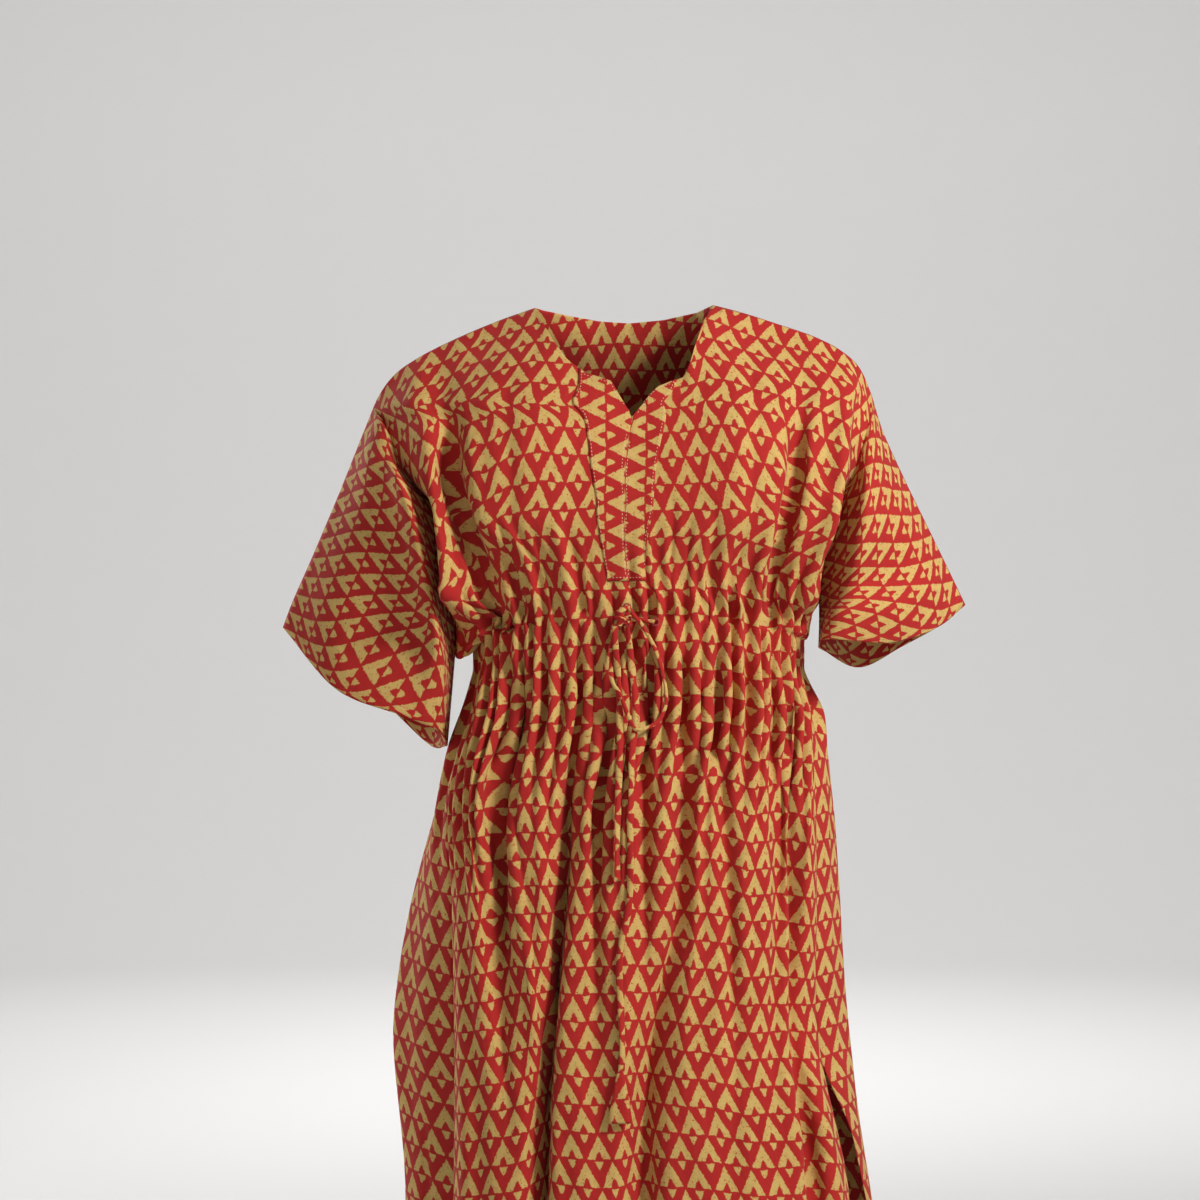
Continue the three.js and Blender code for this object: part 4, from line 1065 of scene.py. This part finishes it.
# Camera at the photograph's angle: level, square on to the front.
camera = bpy.data.objects.new("camera", bpy.data.cameras.new("camera"))
camera.location = (-0.0265, -3.2, -0.3116)
camera.rotation_euler = (math.pi / 2, 0, 0)
camera.data.sensor_width = 36
camera.data.lens = 90.6
bpy.context.scene.collection.objects.link(camera)
bpy.context.scene.camera = camera

tie_cloth = cotton("tie_cotton_print")
thread_red = thread("thread_red", (0.42, 0.03, 0.025, 1), (0.3, 0.015, 0.015, 1))
thread_pale = thread("thread_pale", (0.74, 0.62, 0.42, 1), (0.58, 0.42, 0.24, 1))

# Drawstring. Each run is a sewn cloth tube on the same route as in the part's source.
cross, _, _ = tube("drawstring_cross", CROSS_RUN, 5.4, 3.6, 0.1, 3)
loop, loop_line, loop_length = tube("drawstring_loop", LOOP_RUN, 4.4, 3.2, 0.2, 4)
long_end, long_line, long_length = tube("drawstring_long", LONG_RUN, 7.2, 4.2, 0.0, 5)
short_end, short_line, short_length = tube("drawstring_short", SHORT_RUN, 7.0, 4.2, 0.1, 6)


def tie_knot():
    """The knot: two turns of the tube drawn tight round a third."""
    kx, ky, kz = KNOT
    wide, deep, tall = KNOT_SIZE
    parts = []
    for rise, tilt, seed in ((0.24, 0.36, 21), (-0.2, -0.3, 22)):
        ring = []
        for turn in np.linspace(-0.3, 2 * math.pi + 0.3, 16):
            ring.append((kx + math.cos(turn) * wide * 0.36, ky + math.sin(turn) * deep * 0.34,
                         kz + rise * tall + math.cos(turn) * tilt * 6 + turn * 0.35))
        parts.append(tube("wrap", ring, 4.0, 5.6, 0, seed)[0])
    inner = [(kx + 2.6, ky + 0.4, kz + tall * 0.44), (kx - 0.6, ky - deep * 0.14, kz + tall * 0.2),
             (kx + 0.6, ky - deep * 0.16, kz - tall * 0.12), (kx - 2.2, ky + 0.4, kz - tall * 0.44)]
    parts.append(tube("inner", inner, 6.6, 5.4, 0.3, 23)[0])
    return join("drawstring_knot", parts)


TIP_ROWS = 22
TIP_SIDES = 40


def tie_tip():
    """A scrap of the cloth folded round the end of the cord, sewn at its top and flared below."""
    x, y, top = LONG_TIP
    wide, deep, tall = LONG_TIP_SIZE
    verts, uvs = [], []
    for r in range(TIP_ROWS + 1):
        t = r / TIP_ROWS
        half = wide / 2 * (0.26 + 0.74 * min(1, t / 0.9) ** 0.85) * (1 - 0.05 * max(0, t - 0.93) / 0.07)
        thick = deep / 2 * (0.62 + 0.3 * t)
        for k in range(TIP_SIDES):
            turn = 2 * math.pi * k / TIP_SIDES
            ripple = 1 + 0.22 * t * math.sin(turn * 5 + 0.6) + 0.1 * t * math.sin(turn * 8 + 2)
            px = x + math.cos(turn) * half * (0.99 if t < 1 else 0.97)
            py = y + math.sin(turn) * thick * min(ripple, 1.05)
            verts.append((px, py, top - t * tall))
            uvs.append((px + 40, t * tall))
    faces = grid_faces(TIP_ROWS, TIP_SIDES, closed=True)
    base = len(verts)
    verts.extend([(x, y, top + 0.4), (x, y, top - tall + 5)])
    uvs.extend([(40, 0), (40, tall)])
    for k in range(TIP_SIDES):
        a, b = k, (k + 1) % TIP_SIDES
        faces.append((base, a, b))
        faces.append((base + 1, TIP_ROWS * TIP_SIDES + b, TIP_ROWS * TIP_SIDES + a))
    return new_mesh("drawstring_tip", verts, faces, uvs)


knot = tie_knot()
tip = tie_tip()
for piece, node in ((cross, "tie_cross"), (loop, "tie_loop"), (long_end, "tie_long_end"),
                    (short_end, "tie_short_end"), (knot, "tie_knot"), (tip, "tie_long_tip")):
    dress(piece, tie_cloth, node)


# Panels.
body_cloth = cotton("printed_cotton_print")
panels = {}
for side, cols in COLS.items():
    panel = Panel(side, cols)
    piece = new_mesh(side + "_cloth", panel.points, panel.quads, panel.uvs)
    solidify(piece, CLOTH)
    dress(piece, body_cloth, side + "_panel")
    panels[side] = (panel, piece)
front = panels["front"][0]

# Placket: its edges by column share at the heights of the coarse rows of the part's source. The last two of
# those lie below the underarm, by so many key rows.
BAND_ROWS = [0, 0.07, 0.18, 0.32, 0.48, 0.65, 0.82, 1]
BAND_BELOW = [1.125, 3.33]
BAND_LEFT = [35, 35, 35, 35.2, 35.6, 36, 36.4, 36.7, 37, 37]
BAND_RIGHT = [49, 48.6, 48, 47.2, 46.4, 45.6, 45, 44.4, 44, 43.6]
BAND_SOURCE_COLS = 84
BAND_STEPS = 90
BAND_CELLS = 36
BAND_LIFT = 1.5
BAND_GROOVE = 0.7


def band_place(t, share):
    """Row and column of the body at t down the placket and share across it."""
    rows = [share_down ** (1 / UPPER_EASE) * (UPPER_KEYS - 1) for share_down in BAND_ROWS]
    rows += [UPPER_KEYS + more for more in BAND_BELOW]
    marks = range(len(rows))
    row, left, right = (np.interp(t * marks[-1], marks, values) for values in (rows, BAND_LEFT, BAND_RIGHT))
    return row * UPSAMPLE, (left + (right - left) * share) / BAND_SOURCE_COLS * COLS["front"]


def make_placket():
    """The band over the split, its print turned and its two halves set off against each other."""
    verts, uvs = [], []
    for i in range(BAND_STEPS + 1):
        for j in range(BAND_CELLS + 1):
            share = j / BAND_CELLS
            r, c = band_place(i / BAND_STEPS, share)
            edge = min(j, BAND_CELLS - j, BAND_STEPS - i)
            lift = BAND_LIFT - (0.5 if edge == 0 else 0)
            groove = BAND_GROOVE * math.exp(-((share - 0.5) / 0.018) ** 2)
            point = front.at(r, c) + front.normal(r, c) * (lift - groove)
            verts.append(point)
            half = 1 if share > 0.5 else 0
            uvs.append((-point[2] + 9 * half, point[0] + 300 + 15 * half))
    piece = new_mesh("placket_cloth", verts, grid_faces(BAND_STEPS, BAND_CELLS), uvs)
    solidify(piece, CLOTH)
    return piece


placket = dress(make_placket(), cotton("placket_cotton_print"), "placket")

# Stitching: rows at the casing, round the placket, at the hems, slits, neck and sleeve ends. The casing's
# rows are given as key rows below the underarm.
LIFT = CLOTH / 2 + 0.05
CASING_STITCHES = (9.4, 11.8)
SLIT_INSET = 8
SLEEVE_HEM = 12
NECK_STITCHES = (0.34, 0.64)


def along(fixed_row, start, end, step=1):
    """Places along a row of the body."""
    return [(fixed_row, c) for c in np.arange(start, end, step)]


def down(col, start, end):
    """Places down a column of the body."""
    return [(r, col) for r in np.arange(start, end, 0.5)]


for side, (panel, piece) in panels.items():
    last = len(panel.body) - 1
    places = [along((UPPER_KEYS + row) * UPSAMPLE, 1, panel.cols - 1) for row in CASING_STITCHES]
    places.append(along(last - 1.4, 1, panel.cols - 1, 2))
    slit = int(np.argmax(panel.body[:, 0, 2] < SLIT_TOP))
    inset = SLIT_INSET * panel.cols / (2 * HALF_BODY)
    places += [down(col, slit, last - 1) for col in (inset, panel.cols - inset)]
    runs = [panel.line(run, LIFT) for run in places]
    hem = SLEEVE_COLS * (1 - SLEEVE_HEM / (SLEEVE_END - HALF_BODY))
    cuff = [(hem, r) for r in np.arange(0.5, panel.arm_rows - 1.5, 0.5)]
    runs += [panel.sleeve_line(which, cuff, LIFT) for which in (0, 1)]
    if side == "back":
        runs.append(panel.line(along(2.2, *(panel.cols * share for share in NECK_STITCHES)), LIFT))
    sewn = dress(stitches(side + "_stitching", runs), thread_red)

# Placket's seams: down its edges and beside the groove, as (share across, start), and across it, as
# (place down it, from, to).
BAND_SEAMS = ((0.035, 0.02), (0.465, 0.3), (0.535, 0.3), (0.965, 0.02))
BAND_ENDS = ((0.985, 0.035, 0.965), (0.035, 0.03, 0.44), (0.035, 0.56, 0.97))
band_runs = [[band_place(t, share) for t in np.linspace(first, 0.985, 160)] for share, first in BAND_SEAMS]
band_runs += [[band_place(t, s) for s in np.linspace(low, high, 60)] for t, low, high in BAND_ENDS]
band_runs = [front.line(run, BAND_LIFT + LIFT) for run in band_runs]
band_thread = stitches("placket_stitching", band_runs, wide=0.8, proud=0.5)
dress(band_thread, thread_pale)


def eyelet(name, centre, radius=3.6, rings=30, sides=8):
    """A worked eyelet where the drawstring leaves the casing."""
    verts, uvs = [], []
    cx, cy, cz = centre
    for i in range(rings):
        turn = 2 * math.pi * i / rings
        thick = 0.75 + 0.16 * (i % 2)
        for k in range(sides):
            around = 2 * math.pi * k / sides
            reach = radius + math.cos(around) * thick
            verts.append((cx + math.cos(turn) * reach, cy + math.sin(around) * thick * 0.8,
                          cz + math.sin(turn) * reach))
            uvs.append((turn * radius, around))
    quads = grid_faces(rings, sides, closed=True)
    faces = [tuple(v % len(verts) for v in (a, b, d, c)) for a, c, d, b in quads]
    return dress(new_mesh(name, verts, faces, uvs), thread_red)


eyelet("eyelet_right", (30, -112.6, -334))
eyelet("eyelet_left", (1, -117.0, -319))

# Studio: a round pale floor that sweeps up into a wall all round, and soft light from the upper right.
world = bpy.data.worlds.new("studio")
world.use_nodes = True
background = world.node_tree.nodes["Background"]
background.inputs["Color"].default_value = (0.93, 0.925, 0.92, 1)
background.inputs["Strength"].default_value = 0.10
bpy.context.scene.world = world

LEVEL = -1.42
SWEEP_FROM = 6.0
SWEEP_RADIUS = 3.0
SWEEP_STEPS = 24
WALL_TOP = 9.0
WALL_SIDES = 96
turns = [math.pi / 2 * i / SWEEP_STEPS for i in range(SWEEP_STEPS + 1)]
profile = [(SWEEP_FROM + SWEEP_RADIUS * math.sin(t), LEVEL + SWEEP_RADIUS * (1 - math.cos(t))) for t in turns]
profile.append((SWEEP_FROM + SWEEP_RADIUS, WALL_TOP))
bowl = [(0, 0, LEVEL)]
for reach, height in profile:
    for k in range(WALL_SIDES):
        turn = 2 * math.pi * k / WALL_SIDES
        bowl.append((reach * math.cos(turn), reach * math.sin(turn), height))
bowl_faces = [(0, 1 + k, 1 + (k + 1) % WALL_SIDES) for k in range(WALL_SIDES)]
bowl_faces += [tuple(1 + v for v in quad) for quad in grid_faces(len(profile) - 1, WALL_SIDES, closed=True)]
floor_mesh = bpy.data.meshes.new("floor")
floor_mesh.from_pydata(bowl, [], bowl_faces)
floor_mesh.polygons.foreach_set("use_smooth", [True] * len(bowl_faces))
floor = bpy.data.objects.new("floor", floor_mesh)
bpy.context.scene.collection.objects.link(floor)
plain = Nodes("pale_floor")
plain.surface(Base_Color=(0.66, 0.652, 0.645, 1), Roughness=0.9, Specular_IOR_Level=0.0)
floor_mesh.materials.append(plain.mat)

# Lamps: name, place, the point that each is aimed at, size and power. Those round the wall light only the
# wall and the floor, and are given by their direction.
LAMPS = [
    ("key", (1.95, -1.8, 1.3), (-0.05, 0, -0.15), 0.6, 92),
    ("fill", (-2.6, -2.0, 0.4), (0, 0, -0.6), 2.0, 4),
    ("back", (-2.2, 1.7, 0.5), (0, 0, -0.6), 1.2, 40),
]
WALL_LAMPS = (("behind", 90, 230), ("left", 180, 105), ("right", 0, 105), ("front", 270, 130))
WALL_LAMP_REACH = 3
WALL_LAMP_HEIGHT = 2.2
WALL_LAMP_SIZE = 2.4
WALL_AIM = (7.5, -0.3)
for name, degrees, power in WALL_LAMPS:
    east, north = math.cos(math.radians(degrees)), math.sin(math.radians(degrees))
    place = (WALL_LAMP_REACH * east, WALL_LAMP_REACH * north, WALL_LAMP_HEIGHT)
    aim = (WALL_AIM[0] * east, WALL_AIM[0] * north, WALL_AIM[1])
    LAMPS.append(("wall_" + name, place, aim, WALL_LAMP_SIZE, power))
for name, place, aim, size, power in LAMPS:
    data = bpy.data.lights.new(name, "AREA")
    data.shape = "SQUARE"
    data.size = size
    data.energy = power
    lamp = bpy.data.objects.new(name, data)
    bpy.context.scene.collection.objects.link(lamp)
    way = np.array(aim) - np.array(place)
    lamp.location = place
    lamp.rotation_euler = (math.atan2(math.hypot(way[0], way[1]), -way[2]), 0,
                           math.atan2(way[1], way[0]) - math.pi / 2)
bpy.context.scene.view_settings.view_transform = "Standard"
